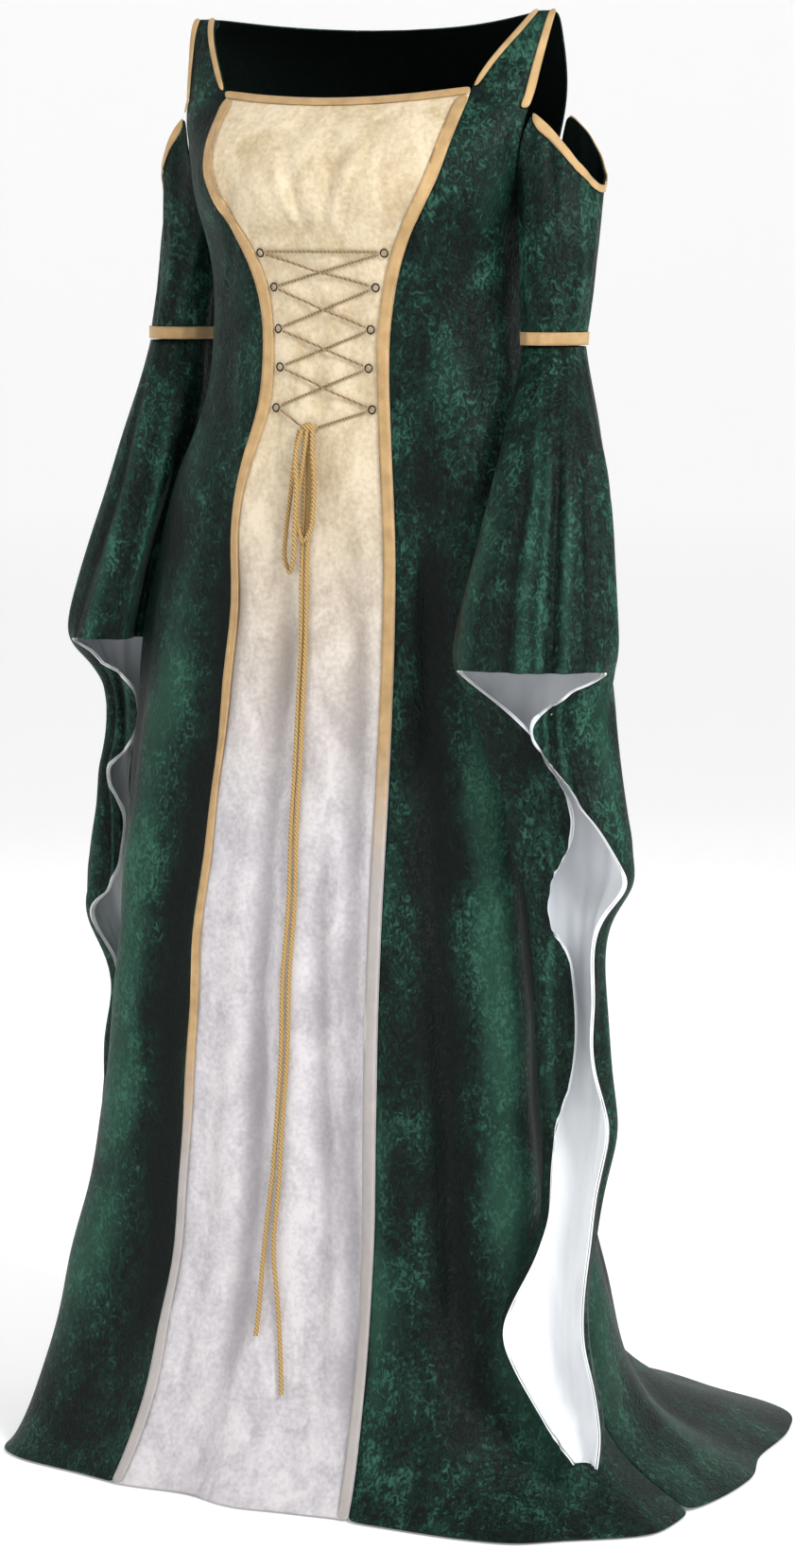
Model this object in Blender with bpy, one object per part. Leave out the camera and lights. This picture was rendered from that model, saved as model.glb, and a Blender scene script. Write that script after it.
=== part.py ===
"""Medieval gown in its worn shape, hollow, with nobody in it.

The wearer faces -Y and the wearer's left is +X. Heights in the tables are metres above the floor, and
the origin is the height of the shoulder tops, so the floor is at z = -SHOULDER. Every piece of cloth is
a thin closed wall made from the points of its outer face.
"""
from collections import namedtuple
from math import atan2, cos, degrees, exp, pi, radians, sin, sqrt

import bmesh
import bpy
from mathutils import Vector

# Driving dimensions, in metres
SHOULDER = 1.459           # height above the floor of the line that the shoulders rest on
CLOTH = 0.0015             # velvet wall
LINING = 0.0010            # satin wall
BRAID = 0.0010             # braid wall
SHARPEST = 0.75            # at a sharp fold the wall grows at most by the inverse of this
SEAM = 0.0005              # gap between two pieces that are sewn together
BRAID_WIDTH = 0.0125       # braid on the front panel
PIPING_WIDTH = 0.007       # narrow braid round the neck and the shoulder openings
UNDERARM = 1.27            # lowest point of the armhole
NECK_CORNER = 1.386        # corners of the front neckline
NECK_DIP = 0.010           # how far the front neckline dips between its corners
BACK_NECK_DIP = 0.013      # how far the back neckline dips between the straps
STRAP_INNER = 0.180        # half the distance between the straps at the shoulder
FRONT_SQUARE = 0.65        # exponent of the front half of each ring, below 1 is squarer
LACE_RADIUS = 0.0012
EYELET_RADIUS = 0.0042     # from the middle of an eyelet to the middle of its rim
EYELET_RIM = 0.0011        # half the thickness of the rim
EYELET_INSET = 0.0186      # from the edge of the front panel to the middle of an eyelet
BOW_RADIUS = 0.0023        # cord of the bow's loops and tails

# One row for each ring of the body and skirt. front and back are depths from centre_y.
Section = namedtuple("Section", "height centre_x centre_y half_width front back panel_mid panel_half")
SECTIONS = [Section(*row) for row in (
    (1.460, 0.000, -0.034, 0.212, 0.004, 0.004, 0.000, 0.139),
    (1.450, 0.000, -0.034, 0.212, 0.020, 0.040, 0.000, 0.139),
    (1.430, 0.000, -0.033, 0.211, 0.038, 0.074, 0.000, 0.139),
    (1.400, 0.000, -0.032, 0.209, 0.054, 0.100, 0.000, 0.139),
    (1.380, 0.000, -0.031, 0.206, 0.064, 0.113, 0.000, 0.139),
    (1.362, 0.000, -0.030, 0.203, 0.084, 0.121, 0.000, 0.140),
    (1.331, 0.000, -0.027, 0.194, 0.114, 0.130, 0.000, 0.138),
    (1.302, 0.000, -0.025, 0.184, 0.131, 0.132, 0.000, 0.133),
    (1.276, 0.000, -0.022, 0.177, 0.134, 0.128, 0.000, 0.121),
    (1.254, 0.000, -0.018, 0.173, 0.127, 0.121, 0.000, 0.105),
    (1.233, 0.000, -0.014, 0.170, 0.121, 0.114, 0.000, 0.091),
    (1.177, 0.000, -0.010, 0.169, 0.117, 0.102, 0.000, 0.073),
    (1.114, 0.000, -0.010, 0.173, 0.116, 0.097, 0.000, 0.068),
    (1.083, 0.000, -0.010, 0.179, 0.119, 0.101, 0.000, 0.072),
    (1.051, -0.003, -0.012, 0.190, 0.121, 0.110, -0.004, 0.079),
    (1.006, -0.008, -0.018, 0.205, 0.119, 0.130, -0.010, 0.090),
    (0.920, -0.018, -0.030, 0.222, 0.107, 0.152, -0.015, 0.099),
    (0.815, -0.028, -0.040, 0.231, 0.097, 0.166, -0.020, 0.101),
    (0.690, -0.030, -0.045, 0.238, 0.106, 0.182, -0.022, 0.104),
    (0.530, -0.031, -0.050, 0.245, 0.121, 0.206, -0.025, 0.109),
    (0.390, -0.036, -0.050, 0.252, 0.124, 0.218, -0.030, 0.113),
    (0.270, -0.040, -0.050, 0.270, 0.126, 0.238, -0.035, 0.118),
    (0.193, -0.040, -0.050, 0.287, 0.133, 0.262, -0.038, 0.122),
    (0.116, -0.038, -0.050, 0.300, 0.149, 0.266, -0.040, 0.125),
    (0.056, -0.030, -0.050, 0.321, 0.170, 0.310, -0.042, 0.131),
    (0.022, -0.010, -0.050, 0.350, 0.186, 0.385, -0.043, 0.136),
    (0.010, -0.002, -0.050, 0.368, 0.198, 0.445, -0.043, 0.139),
    (0.003, 0.000, -0.050, 0.377, 0.205, 0.475, -0.043, 0.140),
)]

# Large folds of the skirt. bearing is in degrees from the front towards the wearer's left, depth is
# outward (a valley is negative), half_width is in degrees, top is the height where the fold dies out.
FOLD_RUN = 0.45            # height over which a fold grows to its full depth, unless it says another
Fold = namedtuple("Fold", "bearing depth half_width top run", defaults=(FOLD_RUN,))
FOLDS = [Fold(*row) for row in (
    (-27, -0.013, 8, 0.62), (-8, 0.006, 9, 0.50), (20, -0.015, 8, 0.70), (4, -0.004, 5, 0.30),
    (42, -0.010, 6, 0.86), (53, 0.016, 8, 0.84), (66, -0.018, 7, 0.90), (78, 0.013, 8, 0.80),
    (92, -0.014, 8, 0.78), (108, 0.012, 8, 0.74), (124, -0.015, 8, 0.72), (141, 0.016, 8, 0.66),
    (157, -0.014, 8, 0.70), (174, 0.014, 8, 0.62), (-169, -0.012, 8, 0.66), (-155, 0.013, 8, 0.60),
    (-141, -0.014, 8, 0.72), (-126, 0.013, 8, 0.70), (-110, -0.014, 8, 0.64), (-95, 0.010, 8, 0.76),
    (-80, -0.010, 7, 0.70), (-66, 0.018, 9, 0.44), (-51, -0.010, 7, 0.74),
    (144, 0.050, 20, 0.085, 0.08),
)]

# Sides of the armhole above the underarm, as shares of the ring's half width
Armhole = namedtuple("Armhole", "height front back")
ARMHOLE = [Armhole(*row) for row in (
    (1.460, 0.965, 0.965), (1.430, 0.960, 0.958), (1.400, 0.955, 0.952), (1.365, 0.958, 0.950),
    (1.340, 0.966, 0.955), (1.310, 0.977, 0.968), (1.285, 0.990, 0.985), (1.270, 1.000, 1.000),
)]
Neck = namedtuple("Neck", "height half_width")
NECK_SIDE = [Neck(*row) for row in (
    (1.460, 0.180), (1.440, 0.171), (1.420, 0.158), (1.400, 0.146), (1.386, 0.139), (1.362, 0.140))]

# Heights of the rows of the panels: up to the underarm, then to the neckline, then up the straps
LEVELS = [0.003, 0.012, 0.050, 0.116, 0.193, 0.28, 0.39, 0.51, 0.63, 0.75, 0.86, 0.95, 1.02,
          1.08, 1.14, 1.20, 1.24, UNDERARM]
BRAID_END = 0.0008         # the panel's braids stop this far below the braid of the neckline
NECK_LEVELS = [1.30, 1.335, 1.365, NECK_CORNER - PIPING_WIDTH - BRAID_END,
               NECK_CORNER - PIPING_WIDTH, NECK_CORNER]
STRAP_LEVELS = [1.41, 1.435, 1.452, 1.4598]

Material = namedtuple("Material", "colour roughness metallic")
VELVET = Material((0.012, 0.045, 0.033), 0.75, 0.0)
CREAM = Material((0.66, 0.60, 0.50), 0.70, 0.0)
SATIN = Material((0.60, 0.61, 0.63), 0.40, 0.0)
BRAID_GOLD = Material((0.55, 0.39, 0.20), 0.60, 0.1)
CORD = Material((0.40, 0.25, 0.10), 0.60, 0.1)
BRONZE = Material((0.05, 0.04, 0.03), 0.40, 0.9)


def at_height(table, height, field):
    """Value of a field at a height, on a smooth curve through the table's rows."""
    rows = sorted(table, key=lambda row: row.height)
    height = min(max(height, rows[0].height), rows[-1].height)
    index = 0
    while index < len(rows) - 2 and rows[index + 1].height < height:
        index += 1
    slopes = [(getattr(b, field) - getattr(a, field)) / (b.height - a.height)
              for a, b in zip(rows, rows[1:])]

    def tangent(i):
        if i in (0, len(slopes)):
            return slopes[min(i, len(slopes) - 1)]
        before, after = slopes[i - 1], slopes[i]
        return 0.0 if before * after <= 0 else 2 * before * after / (before + after)

    low, high = rows[index], rows[index + 1]
    step = high.height - low.height
    t = (height - low.height) / step
    start, end = getattr(low, field), getattr(high, field)
    return ((2 * t ** 3 - 3 * t ** 2 + 1) * start + (t ** 3 - 2 * t ** 2 + t) * step * tangent(index)
            + (3 * t ** 2 - 2 * t ** 3) * end + (t ** 3 - t ** 2) * step * tangent(index + 1))


def smoothstep(value):
    """0 below 0, 1 above 1 and smooth between."""
    value = min(max(value, 0.0), 1.0)
    return value * value * (3 - 2 * value)


def fold_depth(bearing, height):
    """How far the skirt's folds push the cloth out at a bearing in degrees."""
    total = 0.0
    for fold in FOLDS:
        apart = (bearing - fold.bearing + 180) % 360 - 180
        shape = exp(-(apart / fold.half_width) ** 2)
        total += fold.depth * shape * smoothstep((fold.top - height) / fold.run)
    return total


def body_point(angle, height):
    """Point of the outer face of the body and skirt; angle is 0 at the front and grows to +X."""
    ring = {field: at_height(SECTIONS, height, field) for field in Section._fields[1:6]}
    power = FRONT_SQUARE if cos(angle) > 0 else 1.0
    depth = ring["front"] if cos(angle) > 0 else ring["back"]
    side = abs(sin(angle)) ** power * (1 if sin(angle) >= 0 else -1) * ring["half_width"]
    ahead = abs(cos(angle)) ** power * (1 if cos(angle) >= 0 else -1) * depth
    bearing = atan2(side, ahead)
    out = fold_depth(degrees(bearing), height)
    return Vector((ring["centre_x"] + side + out * sin(bearing),
                   ring["centre_y"] - ahead - out * cos(bearing), height - SHOULDER))


def front_angle(x, height):
    """Angle of the front half of a ring at a sideways place x."""
    share = (x - at_height(SECTIONS, height, "centre_x")) / at_height(SECTIONS, height, "half_width")
    sine = min(abs(share), 1.0) ** (1 / FRONT_SQUARE)
    return atan2(sine, sqrt(1 - sine * sine)) * (1 if share >= 0 else -1)


def back_angle(share):
    """Angle of the back half of a ring at a share of its half width."""
    return pi - atan2(share, sqrt(max(1 - share * share, 0.0)))


def panel_edge(side, height):
    """Sideways place of the front panel's edge; side is 1 for the wearer's left."""
    return (at_height(SECTIONS, height, "panel_mid")
            + side * at_height(SECTIONS, height, "panel_half"))


def spread(start, end, count):
    """count + 1 even values from start to end."""
    return [start + (end - start) * i / count for i in range(count + 1)]


def new_material(name, look):
    """A plain Principled material."""
    material = bpy.data.materials.new(name)
    material.use_nodes = True
    shader = material.node_tree.nodes["Principled BSDF"]
    shader.inputs["Base Color"].default_value = (*look.colour, 1.0)
    shader.inputs["Roughness"].default_value = look.roughness
    shader.inputs["Metallic"].default_value = look.metallic
    return material


def add_object(name, mesh, look):
    """Link a mesh object that has its own material."""
    mesh.materials.append(new_material(name, look))
    thing = bpy.data.objects.new(name, mesh)
    bpy.context.scene.collection.objects.link(thing)
    return thing


def point_normals(points, faces):
    """Step at each point that moves every face round it out by about one unit."""
    facings = [[] for _ in points]
    for face in faces:
        corners = [points[i] for i in face]
        cross = (corners[2] - corners[0]).cross(corners[-1] - corners[1]).normalized()
        for i in face:
            facings[i].append(cross)
    steps = []
    for around in facings:
        mean = sum(around, Vector()).normalized()
        agreement = sum(mean.dot(facing) for facing in around) / max(len(around), 1)
        steps.append(mean / max(agreement, SHARPEST))
    return steps


def split(points, faces):
    """Triangles of some quads, each quad cut along its shorter diagonal."""
    triangles = []
    for a, b, c, d in faces:
        if (points[a] - points[c]).length <= (points[b] - points[d]).length:
            triangles += [[a, b, c], [a, c, d]]
        else:
            triangles += [[a, b, d], [b, c, d]]
    return triangles


def wall(name, points, faces, outer, inner, look, normals=None):
    """Closed wall between two distances, outer and inner, along the normals of a surface."""
    normals = normals or point_normals(points, faces)
    faces = split(points, faces)
    used = sorted({i for face in faces for i in face})
    place = {old: new for new, old in enumerate(used)}
    faces = [[place[i] for i in face] for face in faces]
    count = len(used)
    edges = {(a, b) for face in faces for a, b in zip(face, face[1:] + face[:1])}
    solid = [list(face) for face in faces]
    solid += [[i + count for i in reversed(face)] for face in faces]
    solid += [[b, a, a + count, b + count] for a, b in edges if (b, a) not in edges]
    mesh = bpy.data.meshes.new(name)
    mesh.from_pydata([points[i] + normals[i] * outer for i in used]
                     + [points[i] + normals[i] * inner for i in used], [], solid)
    shape = bmesh.new()
    shape.from_mesh(mesh)
    bmesh.ops.triangulate(shape, faces=shape.faces[:])
    bmesh.ops.recalc_face_normals(shape, faces=shape.faces[:])
    shape.to_mesh(mesh)
    shape.free()
    mesh.shade_smooth()
    mesh.set_sharp_from_angle(angle=radians(50))
    return add_object(name, mesh, look)


def grid_faces(rows, columns, closed=False):
    """Quads of a grid of points that is stored row by row, the rows going up."""
    wide = columns if closed else columns - 1
    return [[r * columns + c, r * columns + (c + 1) % columns,
             (r + 1) * columns + (c + 1) % columns, (r + 1) * columns + c]
            for r in range(rows - 1) for c in range(wide)]


class Sheet:
    """A grid of points, row by row from the bottom, with its own faces and outward normals."""

    def __init__(self, rows, closed=False):
        self.rows = rows
        self.points = [p for row in rows for p in row]
        self.faces = grid_faces(len(rows), len(rows[0]), closed)
        self.normals = point_normals(self.points, self.faces)

    def build(self, name, look):
        """Make the cloth of this sheet."""
        return wall(name, self.points, self.faces, 0.0, -CLOTH, look, self.normals)

    def lay(self, name, rows, columns):
        """Lay a braid on the stretch of this sheet between two rows and two columns."""
        wide = len(self.rows[0])
        faces = [[r * wide + c % wide, r * wide + (c + 1) % wide,
                  (r + 1) * wide + (c + 1) % wide, (r + 1) * wide + c % wide]
                 for r in range(rows[0], rows[1]) for c in range(columns[0], columns[1])]
        return wall(name, self.points, faces, SEAM + BRAID, SEAM, BRAID_GOLD, self.normals)


def columns(start, end, edge, count):
    """count + 3 values from start to end, with one a braid's width, edge, inside each end."""
    step = edge if end > start else -edge
    return [start] + spread(start + step, end - step, count) + [end]


def front_rows():
    """Rows of points of the cream panel, from the hem to the neckline."""
    rows = []
    for height in LEVELS + NECK_LEVELS:
        left, right = panel_edge(-1, height) + SEAM / 2, panel_edge(1, height) - SEAM / 2
        row = []
        for x in columns(left, right, BRAID_WIDTH, 7):
            middle = 1 - ((x - left) / (right - left) * 2 - 1) ** 2
            lift = smoothstep((height - 1.30) / (NECK_CORNER - 1.30)) * NECK_DIP * middle
            row.append(body_point(front_angle(x, height), height - lift))
        rows.append(row)
    return rows


def build_front():
    """The cream panel, the braid down its edges and the braid along its neckline."""
    rows = front_rows()
    sheet = Sheet(rows)
    sheet.build("front_panel", CREAM)
    last, top = len(rows[0]) - 1, len(rows) - 1
    sheet.lay("panel_braid_right", (0, top - 2), (0, 1))
    sheet.lay("panel_braid_left", (0, top - 2), (last - 1, last))
    sheet.lay("neck_braid", (top - 1, top), (0, last))


def side_front(side):
    """Sheet of one velvet side front with the front half of its strap."""
    rows = []
    for height in LEVELS + NECK_LEVELS + STRAP_LEVELS:
        half = at_height(SECTIONS, height, "half_width")
        if height <= NECK_CORNER:
            inner = abs(front_angle(panel_edge(side, height) + side * SEAM / 2, height))
        else:
            inner = front_angle(at_height(NECK_SIDE, height, "half_width"), height)
        if height <= UNDERARM:
            outer = pi / 2 - SEAM / 2 / at_height(SECTIONS, height, "back")
        else:
            outer = front_angle(at_height(ARMHOLE, height, "front") * half, height)
        start, end = body_point(side * inner, height), body_point(side * outer, height)
        edge = min(PIPING_WIDTH / (end - start).length, 0.28)
        if height > UNDERARM:
            first, last = start.x, end.x
            angles = [abs(front_angle(x, height)) for x in
                      columns(first, last, abs(last - first) * edge, 6)]
        else:
            angles = columns(inner, outer, (outer - inner) * edge, 6)
        rows.append([body_point(side * angle, height) for angle in angles])
    if side < 0:
        rows = [list(reversed(row)) for row in rows]
    return Sheet(rows)


def build_sides():
    """Both side fronts and the braid along their straps and armholes."""
    for side, hand in ((1, "left"), (-1, "right")):
        sheet = side_front(side)
        sheet.build("side_front_" + hand, VELVET)
        first, last, top = len(LEVELS), len(sheet.rows[0]) - 1, len(sheet.rows) - 1
        neck, arm = ((0, 1), (last - 1, last)) if side > 0 else ((last - 1, last), (0, 1))
        sheet.lay("strap_braid_" + hand, (first + 5, top), neck)
        sheet.lay("armhole_braid_" + hand, (first + 2, top), arm)


def build_back():
    """The back with both back halves of the straps and the train."""
    count = 20
    rows = []
    for height in LEVELS:
        edge = pi / 2 + SEAM / 2 / at_height(SECTIONS, height, "back")
        rows.append([body_point(angle, height) for angle in spread(edge, 2 * pi - edge, count)])
    for share in (0.12, 0.3, 0.5, 0.7, 0.86, 0.95, 1.0):
        row = []
        for column in range(count + 1):
            place = 1 - 2 * column / count
            height = UNDERARM + (SHOULDER - 0.0002 - UNDERARM) * share
            reach = at_height(ARMHOLE, height, "back")
            lean = abs(place) ** (1.0 - 0.45 * share)
            x = lean * reach * at_height(SECTIONS, height, "half_width")
            inside = max(1 - (x / STRAP_INNER) ** 2, 0.0)
            height -= BACK_NECK_DIP * inside * smoothstep(share * 2 - 1)
            ratio = min(x / at_height(SECTIONS, height, "half_width"), 1.0)
            angle = back_angle(ratio)
            row.append(body_point(angle if place >= 0 else 2 * pi - angle, height))
        rows.append(row)
    sheet = Sheet(rows)
    sheet.build("back_panel", VELVET)


# Arms. Each sleeve hangs round a line, one row for each height.
Arm = namedtuple("Arm", "height x y across along")
ARMS = {
    1: [Arm(*row) for row in (
        (1.235, 0.217, -0.050, 0.038, 0.042), (1.190, 0.216, -0.054, 0.035, 0.039),
        (1.152, 0.216, -0.057, 0.031, 0.036), (1.139, 0.216, -0.058, 0.030, 0.036))],
    -1: [Arm(*row) for row in (
        (1.235, 0.219, -0.012, 0.036, 0.044), (1.190, 0.226, -0.010, 0.035, 0.041),
        (1.152, 0.237, -0.008, 0.035, 0.038), (1.139, 0.238, -0.007, 0.035, 0.038))],
}
SLEEVE_COLUMNS = 20
# Free upper edge of the sleeve from the front corner of the armhole over the arm to the back corner
CORNER_HEIGHT = 1.365
SLEEVE_TOP_DROP = 0.074    # how far the free edge dips at the outside of the arm
SLEEVE_TOP_REACH = {1: 0.058, -1: 0.044}   # how far it stands out from the armhole


def armhole_point(side, share):
    """Point just outside the armhole; share runs from -1, front corner, to 1, back corner."""
    height = UNDERARM + (CORNER_HEIGHT - UNDERARM) * abs(share) ** 1.5
    half = at_height(SECTIONS, height, "half_width")
    if share < 0:
        angle = front_angle(at_height(ARMHOLE, height, "front") * half, height)
    else:
        angle = back_angle(min(at_height(ARMHOLE, height, "back"), 1.0))
    point = body_point(angle, height)
    return Vector((side * (point.x + 1.2 * CLOTH), point.y, point.z))


def sleeve_rim(side):
    """Top edge of an upper sleeve: round under the arm along the armhole, and over the arm free."""
    half = SLEEVE_COLUMNS // 2
    sewn = [armhole_point(side, share) for share in spread(1, -1, half)]
    front, back = sewn[-1], sewn[0]
    free = []
    for share in spread(0, 1, half)[1:-1]:
        bow = sin(pi * share)
        point = front.lerp(back, share * share * (3 - 2 * share))
        point.x += side * SLEEVE_TOP_REACH[side] * bow ** 0.7
        point.z -= SLEEVE_TOP_DROP * bow
        free.append(point)
    return sewn + free


def arm_ring(side, height, columns):
    """Ring of an upper sleeve, beginning at the back corner and passing under the arm."""
    arm = {field: at_height(ARMS[side], height, field) for field in Arm._fields[1:]}
    ring = []
    for i in range(columns):
        turn = 2 * pi * (i / columns) + pi / 2
        ring.append(Vector((side * (arm["x"] + arm["across"] * cos(turn)),
                            arm["y"] + arm["along"] * sin(turn), height - SHOULDER)))
    return ring


def build_upper_sleeve(side, hand):
    """The sleeve from the armhole to the elbow braid."""
    rim = sleeve_rim(side)
    first = arm_ring(side, 1.235, SLEEVE_COLUMNS)
    rows = [arm_ring(side, height, SLEEVE_COLUMNS) for height in (1.1395, 1.152, 1.190, 1.235)]
    for share in (0.4, 0.88, 1.0):
        ease = share * (1.25 - 0.25 * share)
        rows.append([Vector((a.x + (b.x - a.x) * ease, a.y + (b.y - a.y) * ease,
                             a.z + (b.z - a.z) * share)) for a, b in zip(first, rim)])
    if side < 0:
        rows = [list(reversed(row)) for row in rows]
    sheet = Sheet(rows, closed=True)
    sheet.build("upper_sleeve_" + hand, VELVET)
    sheet.lay("elbow_braid_" + hand, (0, 1), (0, SLEEVE_COLUMNS))
    half = SLEEVE_COLUMNS // 2
    free = (half, SLEEVE_COLUMNS) if side > 0 else (-1, half - 1)
    sheet.lay("sleeve_top_braid_" + hand, (5, 6), free)


# Bell sleeve. Each lower row is an open bay seen from its own front: places across it, in metres from
# the sleeve's line, of both cut edges and both outer folds, and how deep the bay is.
Bay = namedtuple("Bay", "height left_edge left_fold right_fold right_edge depth")
BAYS = {
    1: [Bay(*row) for row in (
        (0.836, -0.092, -0.088, 0.064, 0.062, 1.00),
        (0.812, -0.062, -0.086, 0.067, 0.018, 1.00),
        (0.785, -0.031, -0.078, 0.068, -0.029, 1.00),
        (0.740, -0.002, -0.072, 0.070, 0.004, 1.00),
        (0.693, 0.024, -0.056, 0.072, 0.037, 1.00),
        (0.662, 0.010, -0.050, 0.072, 0.052, 0.98),
        (0.632, -0.008, -0.042, 0.071, 0.068, 0.96),
        (0.600, -0.022, -0.032, 0.044, 0.036, 0.94),
        (0.564, 0.008, -0.030, 0.037, 0.031, 0.96),
        (0.520, 0.014, -0.030, 0.040, 0.033, 0.95),
        (0.484, 0.016, -0.026, 0.045, 0.030, 0.94),
        (0.440, 0.012, -0.024, 0.050, 0.034, 0.92),
        (0.397, -0.006, -0.016, 0.053, 0.050, 0.90),
        (0.340, -0.009, -0.016, 0.038, 0.034, 0.86),
        (0.290, -0.010, -0.018, 0.035, 0.030, 0.80),
        (0.241, -0.038, -0.044, 0.026, 0.022, 0.74),
        (0.195, -0.060, -0.062, 0.026, 0.022, 0.66),
        (0.145, -0.036, -0.036, 0.036, 0.034, 0.56),
        (0.105, -0.010, -0.010, 0.044, 0.042, 0.46),
        (0.071, 0.014, 0.015, 0.036, 0.037, 0.36))],
    -1: [Bay(*row) for row in (
        (0.836, -0.052, -0.050, 0.058, 0.0565, 1.00),
        (0.812, -0.038, -0.046, 0.036, 0.022, 0.92),
        (0.785, -0.018, -0.040, 0.021, -0.016, 0.90),
        (0.750, -0.010, -0.034, 0.024, -0.018, 0.85),
        (0.716, 0.000, -0.032, 0.028, -0.002, 0.85),
        (0.696, 0.004, -0.030, 0.031, 0.027, 0.80),
        (0.652, 0.004, -0.026, 0.038, 0.002, 0.80),
        (0.620, -0.002, -0.022, 0.046, 0.006, 0.80),
        (0.575, -0.004, -0.018, 0.053, 0.012, 0.75),
        (0.546, -0.006, -0.018, 0.056, 0.052, 0.70),
        (0.500, -0.012, -0.026, 0.033, 0.030, 0.70),
        (0.455, -0.020, -0.034, 0.022, 0.014, 0.65),
        (0.400, -0.010, -0.026, 0.030, 0.026, 0.65),
        (0.340, -0.004, -0.016, 0.034, 0.020, 0.60),
        (0.270, -0.020, -0.026, 0.032, 0.028, 0.60),
        (0.195, -0.040, -0.042, 0.024, 0.020, 0.55),
        (0.145, -0.026, -0.026, 0.030, 0.028, 0.50),
        (0.105, -0.008, -0.008, 0.034, 0.032, 0.40),
        (0.071, 0.008, 0.009, 0.026, 0.027, 0.34))],
}
BAY_BACK = 0.044           # how far the back of a bay lies behind the sleeve's line
BAY_FRONT = 0.040          # how far its right cut edge stands in front of it
MOUTH_BULGE = 0.056        # how far the front of the closed sleeve stands in front of it
REST_COLUMNS = 12          # columns of the open bay
FRONT_COLUMNS = 6          # columns of the front that end at the mouth
BELL_ROWS = 6
LINED_ROWS = 2             # closed rows above the mouth whose lining can be seen

# The line that each bell sleeve hangs round, and the bearing that its bay opens towards
Hang = namedtuple("Hang", "height x y")
HANGS = {
    1: [Hang(*row) for row in (
        (1.139, 0.216, -0.058), (1.070, 0.240, -0.096), (1.000, 0.256, -0.126),
        (0.836, 0.258, -0.148), (0.600, 0.273, -0.147), (0.400, 0.277, -0.154),
        (0.200, 0.286, -0.171), (0.071, 0.296, -0.190))],
    -1: [Hang(*row) for row in (
        (1.139, 0.238, -0.007), (1.070, 0.241, -0.026), (1.000, 0.247, -0.040),
        (0.920, 0.264, -0.048), (0.836, 0.284, -0.052), (0.785, 0.292, -0.038),
        (0.720, 0.300, -0.020), (0.600, 0.306, -0.010), (0.500, 0.316, 0.018),
        (0.400, 0.335, 0.040), (0.200, 0.360, 0.060), (0.071, 0.374, 0.070))],
}
BAY_BEARING = {1: 30.0, -1: -20.0}
SLEEVE_CLEAR = 0.006       # a bell sleeve stays this far outside the skirt
BODY_STEPS = 60            # directions in which the skirt is looked at for that


def through(controls, count):
    """count + 1 points evenly spaced along a smooth curve through flat control points."""
    padded = [controls[0] * 2 - controls[1]] + controls + [controls[-1] * 2 - controls[-2]]
    fine = []
    steps = 12
    for a, b, c, d in zip(padded, padded[1:], padded[2:], padded[3:]):
        for i in range(steps):
            t = i / steps
            fine.append(0.5 * (2 * b + (c - a) * t + (2 * a - 5 * b + 4 * c - d) * t * t
                               + (3 * b - a - 3 * c + d) * t ** 3))
    fine.append(controls[-1])
    run = [0.0]
    for a, b in zip(fine, fine[1:]):
        run.append(run[-1] + (b - a).length)
    points = []
    for i in range(count + 1):
        want = run[-1] * i / count
        k = 0
        while k < len(run) - 2 and run[k + 1] < want:
            k += 1
        t = (want - run[k]) / max(run[k + 1] - run[k], 1e-9)
        points.append(fine[k].lerp(fine[k + 1], min(max(t, 0.0), 1.0)))
    return points


def bay_curve(bay):
    """The open bay of one row, across and forward, from its left cut edge to its right one."""
    back = -BAY_BACK * bay.depth
    wide = bay.right_fold - bay.left_fold
    controls = [Vector((bay.left_edge, (0.012 if bay.height > 0.83 else -0.006) * bay.depth)),
                Vector((bay.left_fold - 0.002, 0.62 * back)),
                Vector((bay.left_fold + 0.34 * wide, back)),
                Vector((bay.left_fold + 0.70 * wide, 0.94 * back)),
                Vector((bay.right_fold + 0.002, 0.05 * BAY_FRONT * bay.depth)),
                Vector((bay.right_edge, 0.85 * BAY_FRONT * bay.depth))]
    return through(controls, REST_COLUMNS)


def clear_of_body(place, height):
    """The place, moved straight out from the middle of the gown until it is clear of the skirt."""
    middle = Vector((0.0, at_height(SECTIONS, height, "centre_y")))
    reach = (place.xy - middle)
    facing = reach.normalized()
    clear = reach.length
    for angle in spread(0, 2 * pi, BODY_STEPS)[1:]:
        out = body_point(angle, height).xy - middle
        if out.normalized().dot(facing) > cos(1.5 * pi / BODY_STEPS * 2):
            clear = max(clear, out.length + SLEEVE_CLEAR)
    place.xy = middle + facing * clear
    return place


def bell_place(side, flat, height):
    """Turn a flat point of a bay into a place on the gown."""
    bearing = radians(BAY_BEARING[side])
    line_x, line_y = at_height(HANGS[side], height, "x"), at_height(HANGS[side], height, "y")
    x = line_x + flat.x * cos(bearing) + flat.y * sin(bearing)
    y = line_y + flat.x * sin(bearing) - flat.y * cos(bearing)
    return clear_of_body(Vector((side * x, y, height - SHOULDER)), height)


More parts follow.
